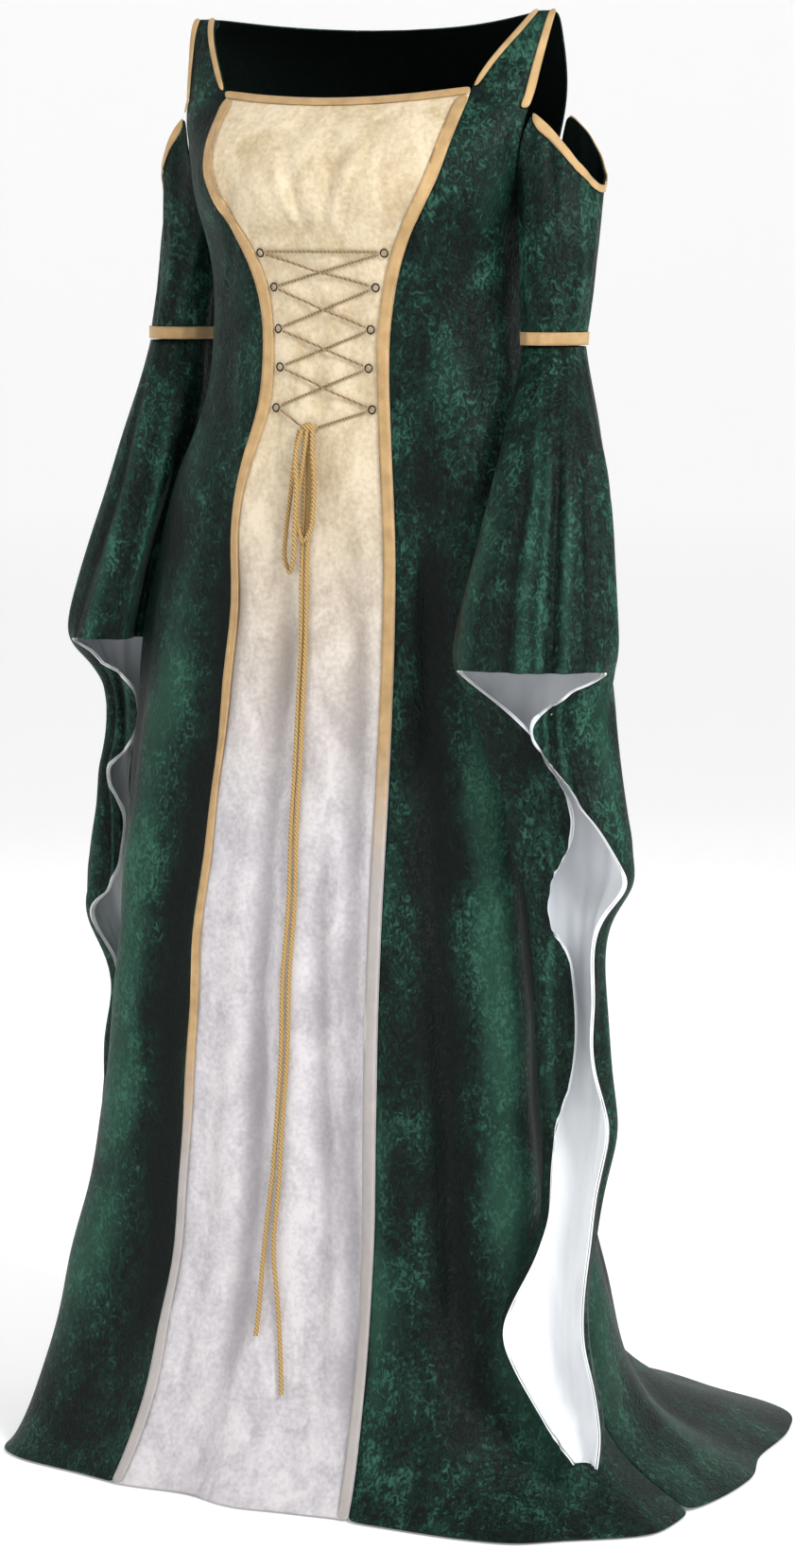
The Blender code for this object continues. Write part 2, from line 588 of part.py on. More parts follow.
def bell_rows(side):
    """Rows of the closed bell from the mouth up, and of the open bay from the tip up."""
    mouth = BAYS[side][0]
    rest = bay_curve(mouth)
    front = through([rest[-1], Vector((0.03, MOUTH_BULGE)), Vector((-0.045, MOUTH_BULGE * 0.92)),
                     rest[0]], FRONT_COLUMNS)
    closed_ring = rest + front[1:-1]
    columns = len(closed_ring)
    arm = ARMS[side][-1]
    top = []
    for i in range(columns):
        turn = atan2(closed_ring[i].y + 0.002, closed_ring[i].x + 0.012)
        top.append(Vector((arm.across * 1.02 * cos(turn), arm.along * 1.02 * sin(turn))))
    bell = []
    high = arm.height - 2 * SEAM
    for row in range(1, BELL_ROWS + 1):
        share = 1 - row / BELL_ROWS
        spread_out = share + 0.35 * share * (1 - share)
        height = mouth.height + (high - mouth.height) * (1 - share)
        bell.append([bell_place(side, a.lerp(b, spread_out), height)
                     for a, b in zip(top, closed_ring)])
    middle = [bell_place(side, flat, mouth.height)
              for flat in closed_ring]
    lower = [[bell_place(side, flat, bay.height) for flat in bay_curve(bay)]
             for bay in reversed(BAYS[side][1:])]
    return lower, middle, bell


def bell_surface(side, keep_rows):
    """Points and faces of a bell sleeve with the given number of closed rows above the mouth."""
    lower, middle, bell = bell_rows(side)
    wide = REST_COLUMNS + 1
    ring = len(middle)
    points = [p for row in lower for p in row]
    faces = grid_faces(len(lower), wide)
    base = len(points)
    points += middle
    faces += [[base - wide + c, base - wide + c + 1, base + c + 1, base + c] for c in range(wide - 1)]
    for row in bell[:keep_rows]:
        points += row
    faces += [[i + base for i in face] for face in grid_faces(keep_rows + 1, ring, closed=True)]
    if side > 0:
        faces = [list(reversed(face)) for face in faces]
    return points, faces


def build_bell(side, hand):
    """A bell sleeve in velvet and the satin lining that shows in it."""
    points, faces = bell_surface(side, BELL_ROWS)
    wall("bell_sleeve_" + hand, points, faces, 0.0, -CLOTH, VELVET)
    points, faces = bell_surface(side, LINED_ROWS)
    behind = -CLOTH - 1.6 * SEAM
    wall("sleeve_lining_" + hand, points, faces, behind, behind - LINING, SATIN)


# Eyelets, by height above the floor
EYELETS = (1.2275, 1.194, 1.1535, 1.116, 1.076)
KNOT_PLACE = (-0.0118, 1.056)      # sideways place and height of the bow's knot
KNOT_SIZE = (0.0085, 0.0050, 0.0070)
FRONT_ROWS = front_rows()


def panel_face(x, height):
    """Point on the flat faces of the front panel at a sideways place and a height."""
    def across(row):
        for left, right in zip(row, row[1:]):
            if x <= right.x or right is row[-1]:
                return left.lerp(right, (x - left.x) / (right.x - left.x)).y

    low = max(i for i, level in enumerate(LEVELS[:-1]) if level <= height)
    share = (height - LEVELS[low]) / (LEVELS[low + 1] - LEVELS[low])
    y = across(FRONT_ROWS[low]) * (1 - share) + across(FRONT_ROWS[low + 1]) * share
    return Vector((x, y, height - SHOULDER))


def panel_point(x, height, lift):
    """Place over the front panel, lifted square to its face."""
    step = 0.006
    across = panel_face(x + step, height) - panel_face(x - step, height)
    up = panel_face(x, height + step) - panel_face(x, height - step)
    return panel_face(x, height) + across.cross(up).normalized() * lift


def eyelet_x(side, height):
    """Sideways place of an eyelet."""
    return panel_edge(side, height) - side * EYELET_INSET


def tube(name, route, radius, look):
    """A round cord along a route, as a curve with filled caps."""
    curve = bpy.data.curves.new(name, "CURVE")
    curve.dimensions = "3D"
    curve.bevel_depth = radius
    curve.bevel_resolution = 2
    curve.use_fill_caps = True
    spline = curve.splines.new("POLY")
    spline.points.add(len(route) - 1)
    for point, place in zip(spline.points, route):
        point.co = (*place, 1.0)
    curve.materials.append(new_material(name, look))
    thing = bpy.data.objects.new(name, curve)
    bpy.context.scene.collection.objects.link(thing)


def build_eyelets():
    """Ten round eyelets on the front panel."""
    for side, hand in ((1, "left"), (-1, "right")):
        for number, height in enumerate(EYELETS, 1):
            x = eyelet_x(side, height)
            middle = panel_point(x, height, 1.5 * SEAM + EYELET_RIM)
            out = (middle - panel_point(x, height, 0)).normalized()
            turn = out.to_track_quat("Z", "Y")
            points, around, section = [], 8, 4
            for i in range(around):
                for k in range(section):
                    a, b = 2 * pi * i / around, 2 * pi * k / section
                    reach = EYELET_RADIUS + EYELET_RIM * cos(b)
                    flat = Vector((reach * cos(a), reach * sin(a), EYELET_RIM * sin(b)))
                    points.append(middle + turn @ flat)
            faces = [[i * section + k, (i + 1) % around * section + k,
                      (i + 1) % around * section + (k + 1) % section, i * section + (k + 1) % section]
                     for i in range(around) for k in range(section)]
            mesh = bpy.data.meshes.new("eyelet")
            mesh.from_pydata(points, [], faces)
            mesh.shade_smooth()
            add_object(f"eyelet_{hand}_{number}", mesh, BRONZE)


def lace_route(start, end, middle_lift):
    """Route of one lace over the panel, between two places that lie just outside an eyelet."""
    low = LACE_RADIUS + 1.5 * SEAM
    shares = (0.0, 0.10, 0.24, 0.38, 0.46, 0.54, 0.62, 0.76, 0.90, 1.0)
    route = []
    for share in shares:
        hump = smoothstep(1 - abs(share - 0.5) / 0.2)
        x = start[0] + (end[0] - start[0]) * share
        height = start[1] + (end[1] - start[1]) * share
        route.append(panel_point(x, height, low + (middle_lift - low) * hump))
    return route


def beside_eyelet(side, height, towards_height, nudge=0.0):
    """Place just outside an eyelet's rim, on the way to the other side at another height."""
    x, other = eyelet_x(side, height), eyelet_x(-side, towards_height)
    length = sqrt((other - x) ** 2 + (towards_height - height) ** 2)
    share = (EYELET_RADIUS + EYELET_RIM + 1.5 * SEAM) / length
    return x + (other - x) * share, height + (towards_height - height) * share + nudge


def build_lacing():
    """The bar across the top pair of eyelets, four crossings and the two ends to the knot."""
    under, over = LACE_RADIUS + 1.5 * SEAM, 3 * LACE_RADIUS + 3 * SEAM
    top = EYELETS[0]
    tube("lace_bar", lace_route(beside_eyelet(-1, top, top, LACE_RADIUS),
                                beside_eyelet(1, top, top, LACE_RADIUS), under), LACE_RADIUS, CORD)
    for number, (high, low) in enumerate(zip(EYELETS, EYELETS[1:]), 1):
        tube(f"lace_falling_{number}", lace_route(beside_eyelet(-1, high, low),
                                                  beside_eyelet(1, low, high), over), LACE_RADIUS, CORD)
        tube(f"lace_rising_{number}", lace_route(beside_eyelet(-1, low, high),
                                                 beside_eyelet(1, high, low), under), LACE_RADIUS, CORD)
    knot_x, knot_height = KNOT_PLACE
    reach = 0.92 * KNOT_SIZE[0] + SEAM
    for hand, side in (("right", -1), ("left", 1)):
        start = beside_eyelet(side, EYELETS[-1], 2 * knot_height - EYELETS[-1])
        end = (knot_x + side * reach, knot_height + 0.002)
        tube("lace_tie_" + hand, lace_route(start, end, under), LACE_RADIUS, CORD)


# Routes of the bow's loops and tails: sideways place, height above the floor, lift over the cloth.
# An end that is higher than the knot's underside stops just below it.
TAIL_PATHS = {
    "lace_tail_1": ((-0.0090, 1.056, 0.0055), (-0.0095, 1.035, 0.0055), (-0.0105, 0.99, 0.0055),
                    (-0.0115, 0.92, 0.0055), (-0.0125, 0.82, 0.0055), (-0.0130, 0.73, 0.0055),
                    (-0.0112, 0.61, 0.0055), (-0.0128, 0.52, 0.0055), (-0.0142, 0.43, 0.0055),
                    (-0.0205, 0.353, 0.0055), (-0.0235, 0.306, 0.0055), (-0.0265, 0.245, 0.0055),
                    (-0.0194, 0.184, 0.0055), (-0.0075, 0.105, 0.0055)),
    "lace_tail_2": ((-0.0148, 1.056, 0.0055), (-0.0150, 1.035, 0.0055), (-0.0160, 0.99, 0.0055),
                    (-0.0172, 0.92, 0.0055), (-0.0184, 0.82, 0.0055), (-0.0190, 0.73, 0.0055),
                    (-0.0174, 0.61, 0.0055), (-0.0192, 0.52, 0.0055), (-0.0207, 0.43, 0.0055),
                    (-0.0290, 0.336, 0.0055), (-0.0355, 0.275, 0.0055), (-0.0396, 0.215, 0.0055),
                    (-0.0413, 0.159, 0.0055)),
}
LOOP_PATHS = {
    "bow_loop_1": ((-0.0052, 1.056, 0.0108), (-0.0040, 1.035, 0.0122), (-0.0015, 1.01, 0.0122),
                   (-0.0020, 0.98, 0.0122), (-0.0060, 0.955, 0.0122), (-0.0120, 0.947, 0.0122),
                   (-0.0175, 0.956, 0.0122), (-0.0200, 0.98, 0.0122), (-0.0165, 1.01, 0.0122),
                   (-0.0125, 1.035, 0.0122), (-0.0108, 1.056, 0.0108)),
    "bow_loop_2": ((-0.0165, 1.056, 0.0108), (-0.0185, 1.035, 0.0175), (-0.0170, 1.00, 0.0185),
                   (-0.0190, 0.96, 0.0180), (-0.0225, 0.93, 0.0135), (-0.0290, 0.916, 0.0105),
                   (-0.0350, 0.925, 0.0100), (-0.0345, 0.955, 0.0100), (-0.0290, 0.99, 0.0105),
                   (-0.0245, 1.025, 0.0100), (-0.0208, 1.056, 0.0085)),
}
CORD_STEP = 0.0138         # distance between the points of a cord


def under_knot(x, lift):
    """Height at which a cord of the bow ends, just below the knot."""
    middle = KNOT_SIZE[1] + 2 * SEAM
    across = max(abs(x - KNOT_PLACE[0]) - BOW_RADIUS, 0.0) / KNOT_SIZE[0]
    ahead = max(abs(lift - middle) - BOW_RADIUS, 0.0) / KNOT_SIZE[1]
    return KNOT_PLACE[1] - 1.6 * SEAM - KNOT_SIZE[2] * sqrt(max(1 - across ** 2 - ahead ** 2, 0.0))


def cord_route(path):
    """Even points on a smooth curve through a cord's own points, over the front panel."""
    places = [panel_point(x, min(height, under_knot(x, lift)), lift) for x, height, lift in path]
    length = sum((b - a).length for a, b in zip(places, places[1:]))
    return through(places, round(length / CORD_STEP))


def build_bow():
    """The knot, its two loops and its two long tails."""
    for name, path in {**TAIL_PATHS, **LOOP_PATHS}.items():
        tube(name, cord_route(path), BOW_RADIUS, CORD)
    knot_x, knot_height = KNOT_PLACE
    shape = bmesh.new()
    bmesh.ops.create_uvsphere(shape, u_segments=10, v_segments=6, radius=1.0)
    middle = panel_point(knot_x, knot_height, KNOT_SIZE[1] + 2 * SEAM)
    for vertex in shape.verts:
        vertex.co = middle + Vector(a * b for a, b in zip(vertex.co, KNOT_SIZE))
    mesh = bpy.data.meshes.new("lace_knot")
    shape.to_mesh(mesh)
    shape.free()
    mesh.shade_smooth()
    add_object("lace_knot", mesh, CORD)


def clear_scene():
    """Remove whatever the scene holds."""
    for thing in list(bpy.data.objects):
        bpy.data.objects.remove(thing, do_unlink=True)


def main():
    """Build the whole gown."""
    clear_scene()
    build_front()
    build_sides()
    build_back()
    for side, hand in ((1, "left"), (-1, "right")):
        build_upper_sleeve(side, hand)
        build_bell(side, hand)
    build_eyelets()
    build_lacing()
    build_bow()


main()
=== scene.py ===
"""A medieval gown of green crushed velvet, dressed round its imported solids."""

import logging
import math
from dataclasses import dataclass
from enum import Enum

import bmesh
import bpy
import numpy as np
from mathutils import Euler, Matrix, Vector
from mathutils.bvhtree import BVHTree


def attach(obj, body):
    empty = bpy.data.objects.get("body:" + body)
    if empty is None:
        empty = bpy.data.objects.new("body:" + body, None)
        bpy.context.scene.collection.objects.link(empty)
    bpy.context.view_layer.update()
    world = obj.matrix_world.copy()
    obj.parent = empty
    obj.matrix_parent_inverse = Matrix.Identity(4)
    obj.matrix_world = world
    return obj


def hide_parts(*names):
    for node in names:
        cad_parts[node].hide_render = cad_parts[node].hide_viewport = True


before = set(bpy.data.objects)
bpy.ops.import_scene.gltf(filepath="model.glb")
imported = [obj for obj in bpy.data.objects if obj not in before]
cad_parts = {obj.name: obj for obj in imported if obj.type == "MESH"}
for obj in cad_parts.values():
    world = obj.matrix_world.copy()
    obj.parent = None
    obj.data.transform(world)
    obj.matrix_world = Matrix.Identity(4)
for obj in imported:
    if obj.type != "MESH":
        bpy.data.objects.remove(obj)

LOG = logging.getLogger("gown")
SHOULDER = 1.459            # height of the row's origin above the floor, in metres
TINY = 1e-6                 # metres, keeps divisions from zero
FOLD_UNIT = 0.01            # metres of fold that count as 1 in the attribute the velvets read for their painted fold shade and highlight


def linear(code: str) -> tuple[float, float, float]:
    """Turn an sRGB hex colour into linear red, green and blue.

    Args:
        code: six hex digits with a leading #.
    Returns:
        The three linear values.
    """
    values = [int(code[i:i + 2], 16) / 255 for i in (1, 3, 5)]
    return tuple(v / 12.92 if v <= 0.04045 else ((v + 0.055) / 1.055) ** 2.4 for v in values)


def smooth(values: np.ndarray) -> np.ndarray:
    """Soft step from 0 to 1.

    Args:
        values: any numbers; they are clipped to 0 and 1 first.
    Returns:
        The eased numbers.
    """
    values = np.clip(values, 0.0, 1.0)
    return values * values * (3.0 - 2.0 * values)


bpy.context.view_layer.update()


# Node graphs


class Graph:
    """Small builder of one material's node graph."""

    def __init__(self, name: str) -> None:
        """Start a material that has only its output and Principled shader.

        Args:
            name: the material's name.
        """
        self.material = bpy.data.materials.new(name)
        self.material.use_nodes = True
        self.tree = self.material.node_tree
        self.shader = self.tree.nodes["Principled BSDF"]

    def node(self, kind: str, settings: dict | None = None, links: dict | None = None,
             values: dict | None = None) -> bpy.types.Node:
        """Add one node with its settings, socket values and incoming links.

        Args:
            kind: the node's type name.
            settings: attributes of the node.
            links: input socket name or number to an output socket.
            values: input socket name or number to a plain value.
        Returns:
            The new node.
        """
        made = self.tree.nodes.new(kind)
        for key, value in (settings or {}).items():
            setattr(made, key, value)
        for key, value in (values or {}).items():
            made.inputs[key].default_value = value
        for key, socket in (links or {}).items():
            self.tree.links.new(socket, made.inputs[key])
        return made

    def noise(self, scale: float, detail: float = 3.0, stretch: tuple = (1.0, 1.0, 1.0),
              distortion: float = 0.0) -> bpy.types.NodeSocket:
        """Noise in the object's own metres.

        Args:
            scale: waves per metre.
            detail: octaves.
            stretch: factor along each axis.
            distortion: how much the noise warps itself.
        Returns:
            The factor socket.
        """
        place = self.node("ShaderNodeTexCoord").outputs["Object"]
        place = self.node("ShaderNodeMapping", links={"Vector": place},
                          values={"Scale": stretch}).outputs["Vector"]
        made = self.node("ShaderNodeTexNoise", links={"Vector": place},
                         values={"Scale": scale, "Detail": detail, "Distortion": distortion})
        return made.outputs["Fac"]

    def fold(self) -> bpy.types.NodeSocket:
        """How far the cloth is folded out here, from about -1 in troughs to 1 on ridges.

        Returns:
            The value socket.
        """
        return self.node("ShaderNodeAttribute", {"attribute_name": "fold"}).outputs["Fac"]

    def folded(self, limit: float, most: float) -> bpy.types.NodeSocket:
        """Blend that grows from 0 on level cloth to its most at one depth of fold, the mask of painted
        shade in troughs and painted highlight on ridges.

        Args:
            limit: the fold value at which it is greatest, below 0 for troughs and above 0 for ridges.
            most: its greatest value.
        Returns:
            The value socket.
        """
        made = self.node("ShaderNodeMapRange", {"interpolation_type": "SMOOTHSTEP"},
                         {"Value": self.fold()},
                         {"From Min": min(limit, 0.0), "From Max": max(limit, 0.0),
                          "To Min": most if limit < 0 else 0.0, "To Max": 0.0 if limit < 0 else most})
        return made.outputs["Result"]

    def plain(self, code: str) -> bpy.types.NodeSocket:
        """One plain colour as a socket.

        Args:
            code: a hex colour.
        Returns:
            The colour socket.
        """
        made = self.node("ShaderNodeRGB")
        made.outputs[0].default_value = (*linear(code), 1.0)
        return made.outputs[0]

    def by_height(self, top: float, bottom: float) -> bpy.types.NodeSocket:
        """Blend that is 0 above one height and 1 below another.

        Args:
            top: the upper height above the floor, in metres.
            bottom: the lower height.
        Returns:
            The value socket.
        """
        place = self.node("ShaderNodeTexCoord").outputs["Object"]
        height = self.node("ShaderNodeSeparateXYZ", links={"Vector": place}).outputs["Z"]
        made = self.node("ShaderNodeMapRange", {"interpolation_type": "SMOOTHSTEP"},
                         {"Value": height},
                         {"From Min": bottom - SHOULDER, "From Max": top - SHOULDER,
                          "To Min": 1.0, "To Max": 0.0})
        return made.outputs["Result"]

    def ramp(self, factor: bpy.types.NodeSocket,
             stops: tuple[tuple[float, str], ...]) -> bpy.types.NodeSocket:
        """Colour ramp over a factor.

        Args:
            factor: the socket that drives it.
            stops: pairs of a place from 0 to 1 and a hex colour.
        Returns:
            The colour socket.
        """
        made = self.node("ShaderNodeValToRGB", links={"Fac": factor})
        while len(made.color_ramp.elements) < len(stops):
            made.color_ramp.elements.new(0.5)
        for element, (place, code) in zip(made.color_ramp.elements, stops):
            element.position = place
            element.color = (*linear(code), 1.0)
        return made.outputs["Color"]

    def math(self, operation: str, first: bpy.types.NodeSocket,
             second: bpy.types.NodeSocket | float) -> bpy.types.NodeSocket:
        """One sum of two values.

        Args:
            operation: the name of the sum, such as MULTIPLY.
            first: a socket.
            second: a socket or a number.
        Returns:
            The value socket.
        """
        plain = isinstance(second, (int, float))
        made = self.node("ShaderNodeMath", {"operation": operation},
                         {0: first} if plain else {0: first, 1: second},
                         {1: second} if plain else {})
        return made.outputs[0]

    def mix(self, factor: bpy.types.NodeSocket, first: bpy.types.NodeSocket,
            second: bpy.types.NodeSocket) -> bpy.types.NodeSocket:
        """Blend of two colours.

        Args:
            factor: 0 gives the first colour and 1 the second.
            first: a colour socket.
            second: a colour socket.
        Returns:
            The colour socket.
        """
        made = self.node("ShaderNodeMix", {"data_type": "RGBA"},
                         {0: factor, 6: first, 7: second})
        return made.outputs[2]

    def bump(self, height: bpy.types.NodeSocket, distance: float, strength: float = 1.0) -> None:
        """Drive the shader's normal with a height.

        Args:
            height: the socket, from 0 to 1.
            distance: the height of 1, in metres.
            strength: how much of it shows.
        """
        made = self.node("ShaderNodeBump", links={"Height": height},
                         values={"Distance": distance, "Strength": strength})
        self.tree.links.new(made.outputs["Normal"], self.shader.inputs["Normal"])

    def finish(self, colour: bpy.types.NodeSocket, **values: float | tuple) -> bpy.types.Material:
        """Set the shader's colour and plain values.

        Args:
            colour: the base colour socket.
            values: shader inputs by name, with underscores for spaces.
        Returns:
            The finished material.
        """
        self.tree.links.new(colour, self.shader.inputs["Base Color"])
        for name, value in values.items():
            self.shader.inputs[name.replace("_", " ")].default_value = value
        return self.material


# Finishes


@dataclass(frozen=True)
class CrushedVelvet:
    """Green panne velvet: a random black and grey-green mottle of the crushed pile, its shining patches
    painted sheen, with painted shade in the fold troughs and painted highlight on the ridges.
    """

    # hollow is the darkest mottle colour and also the painted shade of the fold troughs; shine is the
    # lightest, painted sheen, and also the painted highlight of the ridges
    hollow: str = "#020B08"
    middle: str = "#08251D"
    shine: str = "#32604F"
    patch: float = 24.0         # patches of the crushed pile are about 40 mm across
    fleck: float = 170.0        # flecks of single tufts, coarser than real so that they show

    def make(self) -> bpy.types.Material:
        """Build the material.

        Returns:
            The velvet.
        """
        graph = Graph("crushed_velvet")
        patch = graph.noise(self.patch, 5.0, (1.0, 1.0, 0.6), 0.5)
        fleck = graph.noise(self.fleck, 3.0, (1.0, 1.0, 0.7), 1.6)
        both = graph.math("ADD", graph.math("MULTIPLY", patch, 0.40),
                          graph.math("MULTIPLY", fleck, 0.60))
        # the fold attribute shifts the mottle: painted shade in the troughs, painted highlight on the
        # ridges
        fold_shaded_mottle = graph.math("ADD", both, graph.math("MULTIPLY", graph.fold(), 0.10))
        colour = graph.ramp(fold_shaded_mottle, ((0.42, self.hollow), (0.54, self.middle), (0.70, self.shine)))
        # painted shade: fold troughs darken towards the hollow colour
        colour = graph.mix(graph.folded(-0.9, 0.85), colour, graph.plain(self.hollow))
        # painted highlight: fold ridges lighten towards the shine colour
        colour = graph.mix(graph.folded(0.6, 0.35), colour, graph.plain(self.shine))
        graph.bump(both, 0.004, 0.8)
        return graph.finish(colour, Roughness=0.5, IOR=1.45, Specular_IOR_Level=0.16,
                            Sheen_Weight=0.06, Sheen_Roughness=0.35,
                            Sheen_Tint=(*linear("#5E8A78"), 1.0))


@dataclass(frozen=True)
class VelvetReverseShade:
    """The velvet's plain knitted back, painted nearly black as shade inside the gown."""

    dark: str = "#010504"
    light: str = "#06110E"

    def make(self) -> bpy.types.Material:
        """Build the material.

        Returns:
            The reverse side in painted shade.
        """
        graph = Graph("velvet_reverse_shade")
        knit = graph.noise(700.0, 1.0)
        colour = graph.ramp(knit, ((0.3, self.dark), (0.7, self.light)))
        graph.bump(knit, 0.0004, 0.5)
        return graph.finish(colour, Roughness=0.85, IOR=1.4, Specular_IOR_Level=0.1)


@dataclass(frozen=True)
class PanelVelvet:
    """Cream velvet of the laced panel, whose pile turns to cold silver down the skirt, with painted shade
    in the fold troughs and a little painted highlight on the ridges.
    """

    cream: str = "#D9C9AC"
    cream_deep: str = "#B8A480"
    silver: str = "#CCC8CA"
    silver_deep: str = "#A8A4A9"
    # colours of the painted shade in the fold troughs
    cream_valley_shade: str = "#8F7B58"
    silver_valley_shade: str = "#8B868A"
    top: float = 1.10           # height above the floor where the cream begins to turn
    bottom: float = 0.62

    def make(self) -> bpy.types.Material:
        """Build the material.

        Returns:
            The velvet.
        """
        graph = Graph("panel_velvet")
        patch = graph.noise(40.0, 4.0, (1.0, 1.0, 0.5), 0.8)
        fleck = graph.noise(210.0, 2.0)
        both = graph.math("ADD", graph.math("MULTIPLY", patch, 0.6),
                          graph.math("MULTIPLY", fleck, 0.4))
        # the fold attribute shifts the mottle: painted shade in the troughs, painted highlight on the
        # ridges
        both = graph.math("ADD", both, graph.math("MULTIPLY", graph.fold(), 0.12))
        warm = graph.ramp(both, ((0.34, self.cream_deep), (0.62, self.cream)))
        cold = graph.ramp(both, ((0.34, self.silver_deep), (0.62, self.silver)))
        turn = graph.by_height(self.top, self.bottom)
        # painted shade: fold troughs darken towards the valley colours
        deep = graph.mix(turn, graph.plain(self.cream_valley_shade), graph.plain(self.silver_valley_shade))
        colour = graph.mix(graph.folded(-0.8, 0.65), graph.mix(turn, warm, cold), deep)
        graph.bump(both, 0.0025, 0.6)
        return graph.finish(colour, Roughness=0.62,
                            IOR=1.45, Sheen_Weight=0.25, Sheen_Roughness=0.4)


@dataclass(frozen=True)
class Satin:
    """Pale satin of the sleeve linings: smooth, cold and softly shining."""

    light: str = "#EEF0F2"
    deep: str = "#CBCFD4"

    def make(self) -> bpy.types.Material:
        """Build the material.

        Returns:
            The satin.
        """
        graph = Graph("satin")
        cloud = graph.noise(14.0, 3.0, (1.0, 1.0, 0.35), 0.4)
        grain = graph.noise(600.0, 1.0)
        graph.bump(graph.math("ADD", cloud, graph.math("MULTIPLY", grain, 0.05)), 0.003, 0.5)
        colour = graph.ramp(cloud, ((0.35, self.deep), (0.6, self.light)))
        return graph.finish(colour, Roughness=0.38, IOR=1.46, Sheen_Weight=0.1)


@dataclass(frozen=True)
class Braid:
    """Flat woven braid: a fine diagonal weave of tan and gold threads."""

    light: str = "#CFAC78"
    deep: str = "#8E6B3C"
    thread: float = 900.0       # threads of about 1 mm
    pale_below: str = "#B9B2AE"      # paler lower down, like the panel beside it
    fade_top: float = -1.0      # heights above the floor where it begins and ends to pale
    fade_bottom: float = -1.2

    def make(self) -> bpy.types.Material:
        """Build the material.

        Returns:
            The braid.
        """
        graph = Graph("braid")
        place = graph.node("ShaderNodeTexCoord").outputs["Object"]
        weave = graph.node("ShaderNodeTexWave", {"bands_direction": "DIAGONAL"}, {"Vector": place},
                           {"Scale": self.thread / 3.0, "Distortion": 0.6, "Detail": 1.0}).outputs["Fac"]
        worn = graph.noise(60.0, 2.0)
        both = graph.math("ADD", graph.math("MULTIPLY", weave, 0.45),
                          graph.math("MULTIPLY", worn, 0.55))
        bright = graph.ramp(both, ((0.25, self.deep), (0.6, self.light)))
        pale = graph.ramp(both, ((0.25, "#A09A98"), (0.6, self.pale_below)))
        colour = graph.mix(graph.by_height(self.fade_top, self.fade_bottom), bright, pale)
        graph.bump(weave, 0.0004, 0.7)
        return graph.finish(colour, Roughness=0.5, IOR=1.5, Metallic=0.15, Sheen_Weight=0.1)


@dataclass(frozen=True)
class TwistedCord:
    """Twisted cord: slanting strands with a painted highlight along their tops and painted shade between
    them.
    """

    name: str
    light: str
    deep: str
    strand: float = 420.0       # strands of about 2.5 mm along the cord

    def make(self) -> bpy.types.Material:
        """Build the material.

        Returns:
            The cord's material.
        """
        graph = Graph(self.name)
        place = graph.node("ShaderNodeTexCoord").outputs["Object"]
        twist = graph.node("ShaderNodeTexWave", {"bands_direction": "DIAGONAL"}, {"Vector": place},
                           {"Scale": self.strand / 3.0, "Distortion": 0.3}).outputs["Fac"]
        colour = graph.ramp(twist, ((0.15, self.deep), (0.7, self.light)))
        graph.bump(twist, 0.0006, 0.8)
        return graph.finish(colour, Roughness=0.6, IOR=1.5, Sheen_Weight=0.2)


@dataclass(frozen=True)
class BlackenedBronze:
    """Eyelets of blackened bronze, rubbed bright in spots."""

    dark: str = "#17120E"
    rubbed: str = "#5A4630"

    def make(self) -> bpy.types.Material:
        """Build the material.

        Returns:
            The metal.
        """
        graph = Graph("blackened_bronze")
        worn = graph.noise(500.0, 3.0)
        colour = graph.ramp(worn, ((0.45, self.dark), (0.75, self.rubbed)))
        graph.bump(worn, 0.0002, 0.4)
        return graph.finish(colour, Roughness=0.4, Metallic=0.9, IOR=1.5)


@dataclass(frozen=True)
class StudioPaper:
    """Pale matt paper of the studio floor."""

    light: str = "#F6F6F6"
    deep: str = "#F5F5F5"
    glow: float = 0.26          # the paper is lit brighter than the gown

    def make(self) -> bpy.types.Material:
        """Build the material.

        Returns:
            The paper.
        """
        graph = Graph("studio_paper")
        colour = graph.ramp(graph.noise(40.0, 2.0), ((0.3, self.deep), (0.7, self.light)))
        return graph.finish(colour, Roughness=0.9, IOR=1.4, Emission_Strength=self.glow,
                            Emission_Color=(*linear(self.light), 1.0))


# Form


@dataclass(frozen=True)
class Fold:
    """One soft trough (depth below 0) or ridge, from an upper to a lower end, both in place and height."""

    top_place: float
    top: float
    low_place: float
    low: float
    depth: float
    width: float

    SWAY = 0.2                  # share of its width that a fold's line sways sideways
    SWAY_TURN = 9.0             # radians of the sway for each metre of height
    SWAY_START = 40.0           # radians at which it starts for each metre of place
    PAST_TOP, FADE_TOP = 0.02, 0.22     # shares of the fold's length past its end, and of the fade
    PAST_LOW, FADE_LOW = 0.06, 0.2

    def shape(self, place: np.ndarray, height: np.ndarray) -> np.ndarray:
        """How far the fold moves each point out.

        Args:
            place: sideways places of the points, in metres along the cloth.
            height: their heights above the floor.
        Returns:
            Distances in metres.
        """
        share = (self.top - height) / (self.top - self.low)
        line = self.top_place + (self.low_place - self.top_place) * share
        line = line + self.SWAY * self.width * np.sin(self.SWAY_TURN * height
                                                      + self.SWAY_START * self.top_place)
        fade = (smooth((share + self.PAST_TOP) / self.FADE_TOP)
                * smooth((1.0 + self.PAST_LOW - share) / self.FADE_LOW))
        return self.depth * fade * np.exp(-((place - line) / self.width) ** 2)


@dataclass(frozen=True)
class Axis:
    """The standing line that a hollow piece of cloth goes round."""

    rows: tuple[tuple[float, float, float], ...]   # height, x, y

    def at(self, height: np.ndarray) -> tuple[np.ndarray, np.ndarray]:
        """The line's place at each height.

        Args:
            height: heights above the floor.
        Returns:
            The x and y values.
        """
        table = np.array(sorted(self.rows))
        return (np.interp(height, table[:, 0], table[:, 1]),
                np.interp(height, table[:, 0], table[:, 2]))


def outward(points: np.ndarray, axis: Axis) -> np.ndarray:
    """Level directions from a standing line to points.

    Args:
        points: an array of points in the row frame.
        axis: the line.
    Returns:
        Unit vectors in x and y.
    """
    line_x, line_y = axis.at(points[:, 2] + SHOULDER)
    out = np.stack([points[:, 0] - line_x, points[:, 1] - line_y], axis=1)
    return out / np.maximum(np.linalg.norm(out, axis=1), TINY)[:, None]


